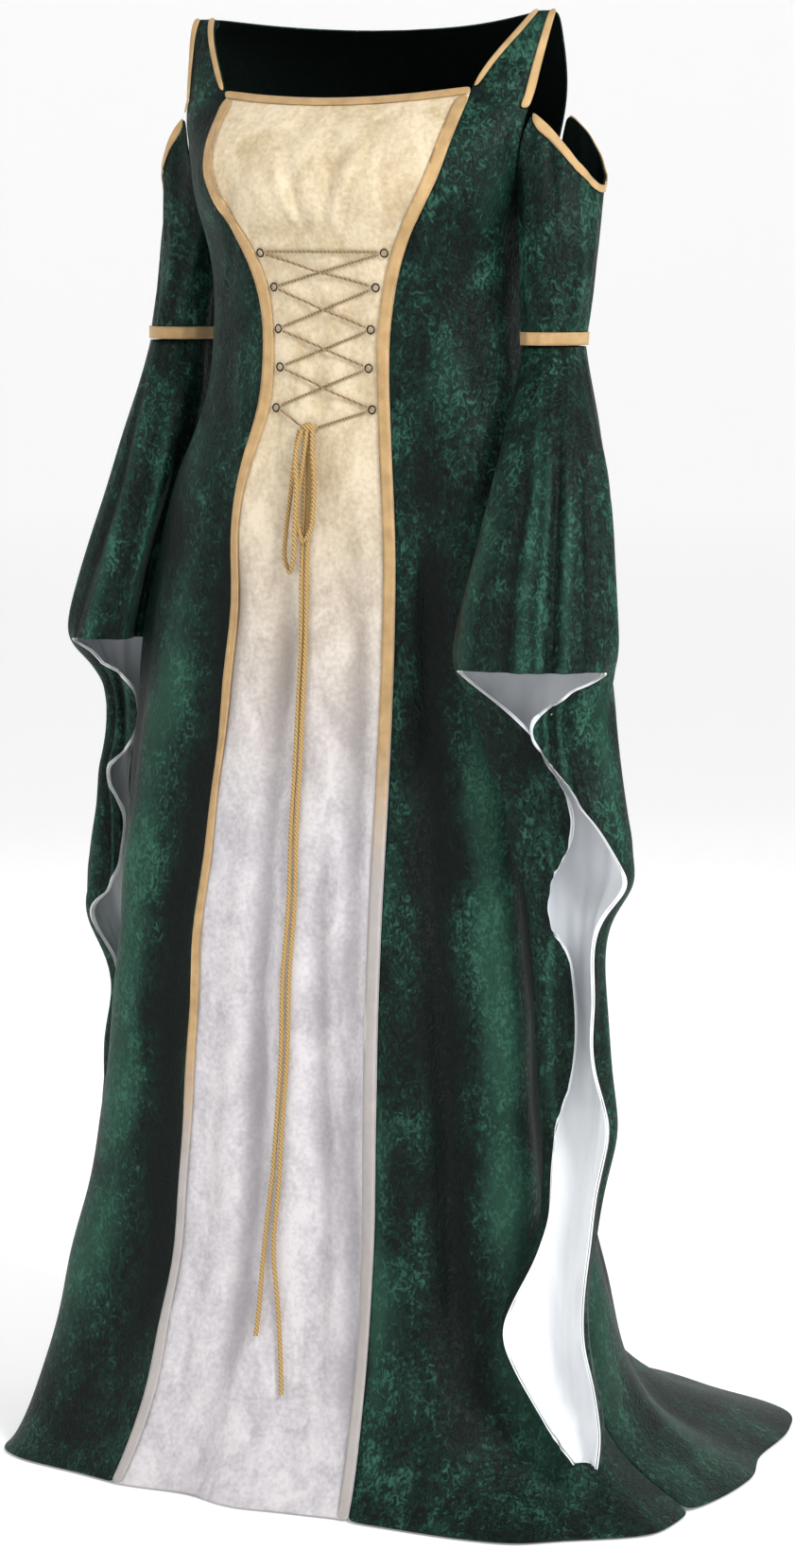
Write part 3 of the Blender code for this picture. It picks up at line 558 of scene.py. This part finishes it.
class Drape:
    """Folds laid one by one on one hollow piece of cloth, and small unevenness between them."""

    FRONT_REACH = 0.95          # radians to each side that the front panel's folds reach
    FRONT_FADE = 0.2            # radians over which they fade there
    # Waves of the unevenness: radians of phase a metre of height and a radian of bearing, and start
    RIPPLES = ((31.0, 5.0, 0.0), (47.0, -9.0, 1.3), (13.0, 17.0, 4.0))

    def __init__(self, axis: Axis, radius: float, folds: tuple[Fold, ...],
                 front_folds: tuple[Fold, ...] = (), ripple: float = 0.0008) -> None:
        """Keep the folds.

        Args:
            axis: the line that bearings are measured round.
            radius: metres along the cloth for each radian of bearing.
            folds: folds whose places are bearing times radius, 0 at the front, + to the wearer's left.
            front_folds: folds of the front panel, whose places are x.
            ripple: height of the small unevenness.
        """
        self.axis, self.radius, self.folds = axis, radius, folds
        self.front_folds, self.ripple = front_folds, ripple

    def move(self, points: np.ndarray) -> tuple[np.ndarray, np.ndarray]:
        """Move points of the cloth by its folds.

        Args:
            points: an array of points in the row frame.
        Returns:
            The moved points, and how far each was moved out.
        """
        height = points[:, 2] + SHOULDER
        out = outward(points, self.axis)
        bearing = np.arctan2(out[:, 0], -out[:, 1])
        place = bearing * self.radius
        total = np.zeros(len(points))
        round_it = 2 * math.pi * self.radius
        for fold in self.folds:
            for turn in (-round_it, 0.0, round_it):
                total += fold.shape(place + turn, height)
        front = smooth((self.FRONT_REACH - np.abs(bearing)) / self.FRONT_FADE)
        for fold in self.front_folds:
            total += front * fold.shape(points[:, 0], height)
        total += self.ripple * sum(np.sin(up * height + across * bearing + start)
                                   for up, across, start in self.RIPPLES)
        moved = points.copy()
        moved[:, :2] += out * total[:, None]
        return moved, total


@dataclass(frozen=True)
class ClothPiece:
    """One cut piece: the cloth on one solid's form."""

    node: str
    slot: str
    look: bpy.types.Material
    drape: Drape
    levels: int = 3
    lift: float = 0.0           # metres further out than its solid, for what lies on another piece
    edge_look: bpy.types.Material | None = None
    edge_below: float = -0.6    # cut edges lower than this show edge_look
    reverse: bpy.types.Material | None = None   # what the inner layer shows

    WELD = 0.00005              # metres within which split corners are joined again
    RIM = 0.0035                # metres: faces with an edge shorter than this are the cut edges
    FLATTEST = math.radians(50)     # most bend between two triangles that make one quad
    SQUAREST = math.radians(60)     # most difference between that quad's corners
    QUICK_LEVELS = 1

    def build(self) -> bpy.types.Object:
        """Make the piece.

        Returns:
            The cloth's object.
        """
        thing = bpy.data.objects.new("cloth_" + self.node, self.cage())
        bpy.context.scene.collection.objects.link(thing)
        rounded = thing.modifiers.new("rounded", "SUBSURF")
        rounded.levels = rounded.render_levels = self.levels
        graph = bpy.context.evaluated_depsgraph_get()
        fine = bpy.data.meshes.new_from_object(thing.evaluated_get(graph))
        thing.modifiers.clear()
        thing.data = fine
        self.settle(fine)
        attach(thing, "root")
        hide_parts(self.node)
        LOG.info("%s: %d faces", thing.name, len(fine.polygons))
        return thing

    def cage(self) -> bpy.types.Mesh:
        """The solid's own mesh, welded and in quads, with sharp cut edges and its materials.

        Returns:
            The mesh that is then rounded.
        """
        shape = bmesh.new()
        shape.from_mesh(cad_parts[self.node].data)
        bmesh.ops.remove_doubles(shape, verts=shape.verts[:], dist=self.WELD)
        bmesh.ops.recalc_face_normals(shape, faces=shape.faces[:])
        short = {edge for edge in shape.edges if edge.calc_length() < self.RIM}
        rim = {face for face in shape.faces if any(edge in short for edge in face.edges)}
        bmesh.ops.join_triangles(shape, faces=[f for f in shape.faces if f not in rim],
                                 angle_face_threshold=self.FLATTEST,
                                 angle_shape_threshold=self.SQUAREST)
        creases = shape.edges.layers.float.new("crease_edge")
        for edge in shape.edges:
            near = [face in rim for face in edge.link_faces]
            edge[creases] = 1.0 if any(near) and not all(near) else 0.0
        for face in shape.faces:
            face.material_index = self.look_of(face, face in rim)
            face.smooth = True
        mesh = bpy.data.meshes.new("cloth_" + self.node)
        shape.to_mesh(mesh)
        shape.free()
        for look in (self.look, self.edge_look or self.look, self.reverse or self.look):
            mesh.materials.append(look)
        return mesh

    def look_of(self, face: bmesh.types.BMFace, at_rim: bool) -> int:
        """Number of the material that one face takes.

        Args:
            face: a face of the cage.
            at_rim: whether it is part of the cut edge.
        Returns:
            0 for the cloth's face, 1 for a low cut edge and 2 for the inner layer.
        """
        middle = face.calc_center_median()
        if at_rim:
            return 1 if self.edge_look and middle.z < self.edge_below else 0
        if not self.reverse:
            return 0
        line_x, line_y = self.drape.axis.at(middle.z + SHOULDER)
        out = Vector((middle.x - line_x, middle.y - line_y, 0.0))
        return 2 if face.normal.dot(out) < 0.0 else 0

    def settle(self, mesh: bpy.types.Mesh) -> None:
        """Lay the drape's folds into the rounded cloth.

        Args:
            mesh: the cloth, changed in place.
        """
        points = np.empty(len(mesh.vertices) * 3)
        mesh.vertices.foreach_get("co", points)
        points, moved = self.drape.move(points.reshape(-1, 3))
        fold = mesh.attributes.new("fold", "FLOAT", "POINT")
        fold.data.foreach_set("value", moved / FOLD_UNIT)
        if self.lift:
            points[:, :2] += outward(points, self.drape.axis) * self.lift
        mesh.vertices.foreach_set("co", points.ravel())
        mesh.update()


# The body's cloth


BODY_AXIS = Axis(((0.0, 0.0, 0.05), (0.6, 0.0, 0.02), (1.1, 0.0, 0.0), (1.459, 0.0, -0.01)))
BODY_RADIUS = 0.22
SKIRT_FOLDS = (
    # right of the front opening, as the photograph shows them, then round the back
    Fold(0.155, 1.06, 0.150, 0.10, -0.0105, 0.019), Fold(0.200, 0.98, 0.205, 0.06, 0.0054, 0.022),
    Fold(0.240, 0.92, 0.246, 0.10, -0.0126, 0.016), Fold(0.285, 1.00, 0.300, 0.05, 0.0060, 0.024),
    Fold(0.335, 0.86, 0.345, 0.12, -0.0095, 0.018), Fold(0.390, 0.95, 0.410, 0.05, 0.0060, 0.027),
    Fold(0.450, 0.90, 0.455, 0.09, -0.0105, 0.020), Fold(0.510, 1.02, 0.520, 0.04, 0.0054, 0.024),
    Fold(0.565, 0.82, 0.580, 0.10, -0.0115, 0.019), Fold(0.630, 0.97, 0.640, 0.06, 0.0054, 0.027),
    Fold(-0.150, 1.05, -0.158, 0.08, -0.0095, 0.018), Fold(-0.195, 0.95, -0.205, 0.10, 0.0054, 0.023),
    Fold(-0.245, 1.00, -0.250, 0.05, -0.0115, 0.019), Fold(-0.300, 0.88, -0.295, 0.12, 0.0060, 0.022),
    Fold(-0.350, 0.98, -0.362, 0.06, -0.0095, 0.020), Fold(-0.410, 0.91, -0.420, 0.08, 0.0060, 0.027),
    Fold(-0.465, 1.03, -0.470, 0.10, -0.0105, 0.018), Fold(-0.525, 0.86, -0.540, 0.05, 0.0054, 0.024),
    Fold(-0.590, 0.96, -0.600, 0.11, -0.0115, 0.020), Fold(-0.650, 1.00, -0.655, 0.05, 0.0054, 0.026),
    # short drag creases over the bust, the waist and the small of the back
    Fold(0.130, 1.29, 0.175, 1.17, -0.0020, 0.010), Fold(-0.130, 1.30, -0.180, 1.18, -0.0020, 0.010),
    Fold(0.170, 1.12, 0.140, 1.02, 0.0018, 0.009), Fold(-0.165, 1.14, -0.140, 1.03, 0.0018, 0.009),
    Fold(0.560, 1.20, 0.640, 1.04, -0.0024, 0.012), Fold(-0.540, 1.22, -0.620, 1.06, -0.0022, 0.012),
    Fold(0.470, 1.34, 0.540, 1.18, 0.0020, 0.013), Fold(-0.490, 1.33, -0.560, 1.16, 0.0020, 0.013),
)
PANEL_FOLDS = (
    # V-shaped drag creases rising from the first eyelets, and ripples between the laced edges
    Fold(-0.052, 1.33, -0.020, 1.25, 0.0022, 0.007), Fold(0.050, 1.34, 0.018, 1.25, 0.0022, 0.007),
    Fold(-0.034, 1.33, -0.008, 1.24, -0.0018, 0.006), Fold(0.030, 1.33, 0.006, 1.24, -0.0018, 0.006),
    Fold(-0.030, 1.22, 0.020, 1.17, 0.0016, 0.006), Fold(0.032, 1.19, -0.012, 1.14, 0.0016, 0.006),
    Fold(-0.022, 1.15, 0.014, 1.09, 0.0018, 0.006), Fold(0.024, 1.12, -0.004, 1.07, -0.0014, 0.006),
    # long soft folds of the skirt panel
    Fold(-0.040, 0.98, -0.074, 0.06, -0.0076, 0.016), Fold(0.036, 1.00, 0.062, 0.05, -0.0066, 0.014),
    Fold(-0.012, 0.90, -0.020, 0.10, 0.0039, 0.018), Fold(0.052, 0.80, 0.096, 0.04, 0.0045, 0.016),
    Fold(-0.060, 0.76, -0.112, 0.05, 0.0045, 0.016), Fold(0.010, 0.70, 0.026, 0.12, -0.0042, 0.012),
)
# Hanging lines of the sleeves: height, x and y
SLEEVE_LINES = {
    1: Axis(((1.139, 0.216, -0.058), (1.070, 0.240, -0.096), (1.000, 0.256, -0.126), (0.836, 0.258, -0.148),
             (0.600, 0.273, -0.147), (0.400, 0.277, -0.154), (0.200, 0.286, -0.171), (0.071, 0.296, -0.190),
             (1.280, 0.216, -0.040), (1.420, 0.200, -0.030))),
    -1: Axis(((1.139, -0.238, -0.007), (1.070, -0.241, -0.026), (1.000, -0.247, -0.040),
              (0.920, -0.264, -0.048), (0.836, -0.284, -0.052), (0.785, -0.292, -0.038),
              (0.720, -0.300, -0.020), (0.600, -0.306, -0.010), (0.500, -0.316, 0.018),
              (0.400, -0.335, 0.040), (0.200, -0.360, 0.060), (0.071, -0.374, 0.070),
              (1.280, -0.220, -0.020), (1.420, -0.200, -0.030))),
}
SLEEVE_FOLDS = {
    1: (Fold(0.010, 1.36, 0.030, 1.17, -0.0016, 0.008), Fold(0.060, 1.33, 0.070, 1.16, 0.0015, 0.009),
        Fold(-0.050, 1.28, -0.020, 1.18, 0.0016, 0.007), Fold(-0.090, 1.34, -0.075, 1.16, -0.0016, 0.009),
        Fold(-0.012, 1.12, -0.018, 0.50, -0.0050, 0.007), Fold(0.004, 1.12, 0.001, 0.45, 0.0036, 0.006),
        Fold(0.019, 1.10, 0.020, 0.62, 0.0032, 0.005), Fold(0.031, 1.12, 0.032, 0.40, -0.0046, 0.005),
        Fold(0.044, 1.11, 0.047, 0.35, 0.0036, 0.007), Fold(0.068, 1.09, 0.074, 0.38, -0.0046, 0.007),
        Fold(-0.045, 1.08, -0.043, 0.30, 0.0034, 0.009), Fold(-0.080, 1.10, -0.086, 0.34, -0.0042, 0.009),
        Fold(0.105, 1.07, 0.110, 0.30, 0.0034, 0.010), Fold(-0.125, 1.10, -0.128, 0.36, 0.0034, 0.010),
        Fold(0.142, 1.10, 0.146, 0.32, -0.0040, 0.008)),
    -1: (Fold(0.015, 1.35, 0.025, 1.17, -0.0016, 0.008), Fold(-0.060, 1.34, -0.070, 1.16, 0.0015, 0.009),
         Fold(0.055, 1.30, 0.030, 1.18, 0.0016, 0.007), Fold(0.095, 1.33, 0.080, 1.16, -0.0016, 0.009),
         Fold(0.010, 1.12, 0.014, 0.55, -0.0044, 0.007), Fold(-0.008, 1.11, -0.010, 0.48, 0.0034, 0.006),
         Fold(-0.026, 1.10, -0.030, 0.40, -0.0042, 0.007), Fold(0.032, 1.09, 0.034, 0.42, 0.0034, 0.007),
         Fold(0.054, 1.12, 0.058, 0.36, -0.0042, 0.007), Fold(-0.050, 1.10, -0.052, 0.33, 0.0034, 0.008),
         Fold(-0.078, 1.08, -0.084, 0.30, -0.0040, 0.009), Fold(0.086, 1.07, 0.090, 0.34, 0.0032, 0.009),
         Fold(-0.112, 1.11, -0.116, 0.36, 0.0034, 0.010), Fold(0.124, 1.09, 0.120, 0.30, -0.0040, 0.009),
         Fold(-0.150, 1.10, -0.146, 0.38, -0.0036, 0.009)),
}


def body_drape() -> Drape:
    """The drape of everything on the body, so that braid and laces move with the cloth.

    Returns:
        The drape.
    """
    return Drape(BODY_AXIS, BODY_RADIUS, SKIRT_FOLDS, PANEL_FOLDS)


class Side(Enum):
    """Sides of the gown, by the sign of x on the wearer's left and right."""

    LEFT = 1
    RIGHT = -1


@dataclass(frozen=True)
class Finishes:
    """The gown's materials, made once."""

    green: bpy.types.Material
    # the inner layer: the velvet's back, painted nearly black as shade
    reverse: bpy.types.Material
    cream: bpy.types.Material
    satin: bpy.types.Material
    braid: bpy.types.Material
    lace: bpy.types.Material
    bow: bpy.types.Material
    bronze: bpy.types.Material


@dataclass(frozen=True)
class Body:
    """Bodice and skirt: the front panel, side fronts, back and the braid on them."""

    looks: Finishes
    braid_lift: float = 0.0006

    def build(self) -> None:
        """Make every piece of the body."""
        drape = body_drape()
        panel = self.piece("front_panel", "cream_velvet", self.looks.cream, drape)
        fronts = {side: self.piece(f"side_front_{side.name.lower()}", "green_velvet",
                                   self.looks.green, drape, reverse=self.looks.reverse)
                  for side in Side}
        back = self.piece("back_panel", "green_velvet", self.looks.green, drape,
                          reverse=self.looks.reverse)
        names = ["neck_braid"]
        for side in Side:
            names += [f"{part}_{side.name.lower()}" for part in
                      ("panel_braid", "strap_braid", "armhole_braid")]
        pale_below = {"panel_braid_left": Braid(fade_top=0.78, fade_bottom=0.60).make(),
                 "panel_braid_right": Braid(fade_top=0.46, fade_bottom=0.30).make()}
        braids = [self.piece(name, "braid", pale_below.get(name, self.looks.braid), drape, 2,
                             self.braid_lift) for name in names]

    @staticmethod
    def piece(node: str, slot: str, look: bpy.types.Material, drape: Drape, levels: int = 3,
              lift: float = 0.0, reverse: bpy.types.Material | None = None) -> bpy.types.Object:
        """Make one piece of the body.

        Args:
            node: the solid's name.
            slot: its slot; not used.
            look: its material.
            drape: the folds that it takes.
            levels: how finely it is rounded.
            lift: metres that it lies further out.
            reverse: the inner layer's material.
        Returns:
            The cloth's object.
        """
        return ClothPiece(node, slot, look, drape, levels, lift, reverse=reverse).build()


@dataclass(frozen=True)
class Sleeve:
    """One sleeve: upper sleeve, bell, lining and their braids."""

    side: Side
    looks: Finishes
    bell_area: float
    lining_area: float
    bell_flat: tuple[float, float]
    lining_flat: tuple[float, float]
    radius: float = 0.06        # metres along the cloth for each radian round the arm
    ripple: float = 0.0004
    braid_lift: float = 0.0004
    braid_levels: int = 2

    def build(self) -> None:
        """Make the sleeve's pieces."""
        end = self.side.name.lower()
        drape = Drape(SLEEVE_LINES[self.side.value], self.radius, SLEEVE_FOLDS[self.side.value],
                      ripple=self.ripple)
        upper = ClothPiece("upper_sleeve_" + end, "green_velvet", self.looks.green, drape,
                           reverse=self.looks.reverse).build()
        bell = ClothPiece("bell_sleeve_" + end, "green_velvet", self.looks.green, drape,
                          edge_look=self.looks.satin).build()
        lining = ClothPiece("sleeve_lining_" + end, "satin", self.looks.satin, drape).build()
        elbow, cap = (ClothPiece(name + end, "braid", self.looks.braid, drape, self.braid_levels,
                                 self.braid_lift).build()
                      for name in ("elbow_braid_", "sleeve_top_braid_"))


# Lacing


@dataclass(frozen=True)
class Lacing:
    """Eyelets, the crossed lace, the bar at the top and the ties to the knot."""

    looks: Finishes
    rows: int = 5
    crossings: int = 4
    lift: float = 0.0008

    def build(self) -> None:
        """Make every piece of the lacing."""
        drape = body_drape()
        for side in Side:
            end = side.name.lower()
            for row in range(1, self.rows + 1):
                ClothPiece(f"eyelet_{end}_{row}", "eyelet_bronze", self.looks.bronze, drape, 2,
                           self.lift).build()
            ClothPiece(f"lace_tie_{end}", "cord", self.looks.lace, drape, 2, self.lift).build()
        names = ["lace_bar"] + [f"lace_{way}_{row}" for way in ("falling", "rising")
                                for row in range(1, self.crossings + 1)]
        for name in names:
            ClothPiece(name, "cord", self.looks.lace, drape, 2, self.lift).build()
        ClothPiece("lace_knot", "cord", self.looks.bow, drape, 2, self.lift).build()


@dataclass(frozen=True)
class FreeCord:
    """One tail or loop of the bow, lying on the panel."""

    node: str
    rows: tuple[tuple[float, float, float], ...]    # x, height, distance out from the panel
    length: float
    far_end: str
    look: bpy.types.Material
    radius: float = 0.0023
    step: float = 0.006

    def build(self, panel: BVHTree) -> bpy.types.Object:
        """Make the cord.

        Args:
            panel: the front panel's shown cloth.
        Returns:
            The cord's object.
        """
        points = [self.on_panel(panel, *row) for row in self.fine_rows()]
        curve = bpy.data.curves.new("cord_" + self.node, "CURVE")
        curve.dimensions = "3D"
        curve.bevel_depth, curve.bevel_resolution = self.radius, 3
        curve.use_fill_caps = True
        line = curve.splines.new("POLY")
        line.points.add(len(points) - 1)
        for spot, point in zip(line.points, points):
            spot.co = (*point, 1.0)
        line.use_smooth = True
        curve.materials.append(self.look)
        thing = bpy.data.objects.new("cord_" + self.node, curve)
        bpy.context.scene.collection.objects.link(thing)
        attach(thing, "root")
        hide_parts(self.node)
        run = sum((b - a).length for a, b in zip(points, points[1:]))
        LOG.info("%s: %.4f m", thing.name, run)
        return thing

    def fine_rows(self) -> list[tuple[float, float, float]]:
        """Smooth line through the rows.

        Returns:
            Rows at even steps.
        """
        table = np.array(self.rows)
        gaps = np.linalg.norm(np.diff(table[:, :2], axis=0), axis=1)
        along = np.concatenate([[0.0], np.cumsum(gaps)])
        slopes = np.gradient(table, along, axis=0)
        result = []
        for at in np.linspace(0.0, along[-1], int(along[-1] / self.step) + 2):
            i = min(int(np.searchsorted(along, at, side="right")) - 1, len(gaps) - 1)
            t = (at - along[i]) / gaps[i]
            result.append(tuple((2 * t ** 3 - 3 * t ** 2 + 1) * table[i]
                                + (t ** 3 - 2 * t ** 2 + t) * gaps[i] * slopes[i]
                                + (3 * t ** 2 - 2 * t ** 3) * table[i + 1]
                                + (t ** 3 - t ** 2) * gaps[i] * slopes[i + 1]))
        return result

    @staticmethod
    def on_panel(panel: BVHTree, x: float, height: float, out: float) -> Vector:
        """Place one point in front of the panel.

        Args:
            panel: the front panel's shown cloth.
            x: the point's x.
            height: its height above the floor.
            out: metres in front of the cloth.
        Returns:
            The point in the row frame.
        """
        start = Vector((x, -1.0, height - SHOULDER))
        return panel.ray_cast(start, Vector((0.0, 1.0, 0.0)))[0] - Vector((0.0, out, 0.0))


def cord_rows(out: float, *places: tuple[float, float]) -> tuple[tuple[float, float, float], ...]:
    """Rows of a cord that lies evenly on the panel.

    Args:
        out: metres in front of the cloth.
        places: pairs of x and height.
    Returns:
        Rows of x, height and distance out.
    """
    return tuple((x, height, out) for x, height in places)


TAILS = {
    "lace_tail_1": (cord_rows(0.0055, (-0.0090, 1.056), (-0.0095, 1.035), (-0.0105, 0.99),
                              (-0.0115, 0.92), (-0.0125, 0.82), (-0.0130, 0.73), (-0.0112, 0.61),
                              (-0.0128, 0.52), (-0.0142, 0.43), (-0.0205, 0.353), (-0.0235, 0.306),
                              (-0.0265, 0.245), (-0.0194, 0.184), (-0.0075, 0.105)), 0.957),
    "lace_tail_2": (cord_rows(0.0055, (-0.0148, 1.056), (-0.0150, 1.035), (-0.0160, 0.99),
                              (-0.0172, 0.92), (-0.0184, 0.82), (-0.0190, 0.73), (-0.0174, 0.61),
                              (-0.0192, 0.52), (-0.0207, 0.43), (-0.0290, 0.336), (-0.0355, 0.275),
                              (-0.0396, 0.215), (-0.0413, 0.159)), 0.902),
}
LOOPS = {
    "bow_loop_1": (((-0.0052, 1.056, 0.0108), (-0.0040, 1.035, 0.0122), (-0.0015, 1.010, 0.0122),
                    (-0.0020, 0.980, 0.0122), (-0.0060, 0.955, 0.0122), (-0.0120, 0.947, 0.0122),
                    (-0.0175, 0.956, 0.0122), (-0.0200, 0.980, 0.0122), (-0.0165, 1.010, 0.0122),
                    (-0.0125, 1.035, 0.0122), (-0.0108, 1.056, 0.0108)), 0.22),
    "bow_loop_2": (((-0.0165, 1.056, 0.0108), (-0.0185, 1.035, 0.0175), (-0.0170, 1.000, 0.0185),
                    (-0.0190, 0.960, 0.0180), (-0.0225, 0.930, 0.0135), (-0.0290, 0.916, 0.0105),
                    (-0.0350, 0.925, 0.0100), (-0.0345, 0.955, 0.0100), (-0.0290, 0.990, 0.0105),
                    (-0.0245, 1.025, 0.0100), (-0.0208, 1.056, 0.0085)), 0.29),
}


# Studio


@dataclass(frozen=True)
class Lamp:
    """One soft square light."""

    name: str
    place: tuple[float, float, float]
    size: float
    power: float                # watts

    def hang(self, aim: Vector) -> None:
        """Hang the lamp.

        Args:
            aim: the point that it faces.
        """
        lamp = bpy.data.lights.new(self.name, "AREA")
        lamp.size, lamp.energy = self.size, self.power
        thing = bpy.data.objects.new(self.name, lamp)
        thing.location = self.place
        thing.rotation_euler = (aim - thing.location).to_track_quat("-Z", "Y").to_euler()
        bpy.context.scene.collection.objects.link(thing)


@dataclass(frozen=True)
class Studio:
    """Camera at the photograph's angle, pale floor and soft light."""

    lens: float = 102.9         # millimetres, on a sensor 36 mm long
    shift: tuple[float, float] = (0.0045, 0.0058)
    turn: float = 30.0          # degrees from the front towards the wearer's left
    distance: float = 4.5
    eye: float = 1.25           # height of the lens above the floor
    pitch: float = 7.17         # degrees that it looks down
    floor_flat: float = 16.0    # radius of the level floor
    floor_bend: float = 5.0     # radius of the bend where it rises
    floor_top: float = 9.0
    floor_steps: int = 8
    floor_sides: int = 64
    surround: float = 0.66      # strength of the even light from all round
    lamps: tuple[Lamp, ...] = (Lamp("key", (2.9, -1.6, 1.5), 1.0, 120.0),
                               Lamp("fill", (-2.4, -3.0, 0.6), 2.0, 12.0),
                               Lamp("rim", (-2.2, 2.4, 1.4), 1.2, 25.0))

    def camera(self) -> None:
        """Set the camera."""
        made = bpy.data.cameras.new("camera")
        made.lens, made.sensor_width = self.lens, 36.0
        made.shift_x, made.shift_y = self.shift
        made.clip_end = 60.0        # metres, past the far bend of the floor
        thing = bpy.data.objects.new("camera", made)
        angle = math.radians(self.turn)
        thing.location = (math.sin(angle) * self.distance, -math.cos(angle) * self.distance,
                          self.eye - SHOULDER)
        thing.rotation_euler = Euler((math.radians(90.0 - self.pitch), 0.0, angle))
        bpy.context.scene.collection.objects.link(thing)
        bpy.context.scene.camera = thing

    def floor(self) -> None:
        """Lay the pale floor, which sweeps up far away on all sides."""
        bend, sides = self.floor_bend, self.floor_sides
        turns = [math.pi / 2 * i / self.floor_steps for i in range(self.floor_steps + 1)]
        profile = [(0.01, 0.0), *((self.floor_flat + bend * math.sin(t), bend * (1.0 - math.cos(t)))
                                  for t in turns), (self.floor_flat + bend, self.floor_top)]
        spots, faces = [], []
        for row, (away, up) in enumerate(profile):
            for i in range(sides):
                angle = 2 * math.pi * i / sides
                spots.append((away * math.sin(angle), away * math.cos(angle), up - SHOULDER))
                if row:
                    here, after = row * sides + i, row * sides + (i + 1) % sides
                    faces.append((here - sides, after - sides, after, here))
        mesh = bpy.data.meshes.new("floor")
        mesh.from_pydata(spots, [], faces)
        for face in mesh.polygons:
            face.use_smooth = True
        mesh.materials.append(StudioPaper().make())
        thing = bpy.data.objects.new("floor", mesh)
        bpy.context.scene.collection.objects.link(thing)

    def light(self) -> None:
        """Hang the soft lights and the pale surround."""
        scene = bpy.context.scene
        scene.world = scene.world or bpy.data.worlds.new("surround")
        scene.world.use_nodes = True
        back = scene.world.node_tree.nodes["Background"]
        back.inputs["Color"].default_value = (*linear("#FBFBFB"), 1.0)
        back.inputs["Strength"].default_value = self.surround
        for lamp in self.lamps:
            lamp.hang(Vector((0.0, 0.0, -0.6)))
        scene.view_settings.view_transform = "Standard"


def main() -> None:
    """Build the gown and its studio in order."""
    logging.basicConfig(level=logging.INFO, format="%(name)s: %(message)s")
    studio = Studio()
    studio.camera()
    looks = Finishes(CrushedVelvet().make(), VelvetReverseShade().make(), PanelVelvet().make(),
                     Satin().make(), Braid().make(),
                     TwistedCord("lace_cord", "#A08358", "#6B5433").make(),
                     TwistedCord("bow_cord", "#BE9C5C", "#8A6A38").make(),
                     BlackenedBronze().make())
    Body(looks).build()
    Sleeve(Side.LEFT, looks, 0.245, 0.174, (0.40, 1.07), (0.36, 0.87)).build()
    Sleeve(Side.RIGHT, looks, 0.191, 0.125, (0.34, 1.07), (0.28, 0.87)).build()
    Lacing(looks).build()
    shown = bpy.data.objects["cloth_front_panel"].data
    panel = BVHTree.FromPolygons([v.co for v in shown.vertices],
                                 [tuple(face.vertices) for face in shown.polygons])
    for node, (rows, length) in TAILS.items():
        FreeCord(node, rows, length, "bare", looks.bow).build(panel)
    for node, (rows, length) in LOOPS.items():
        FreeCord(node, rows, length, "object", looks.bow).build(panel)
    studio.floor()
    studio.light()


if __name__ == "__main__":
    main()
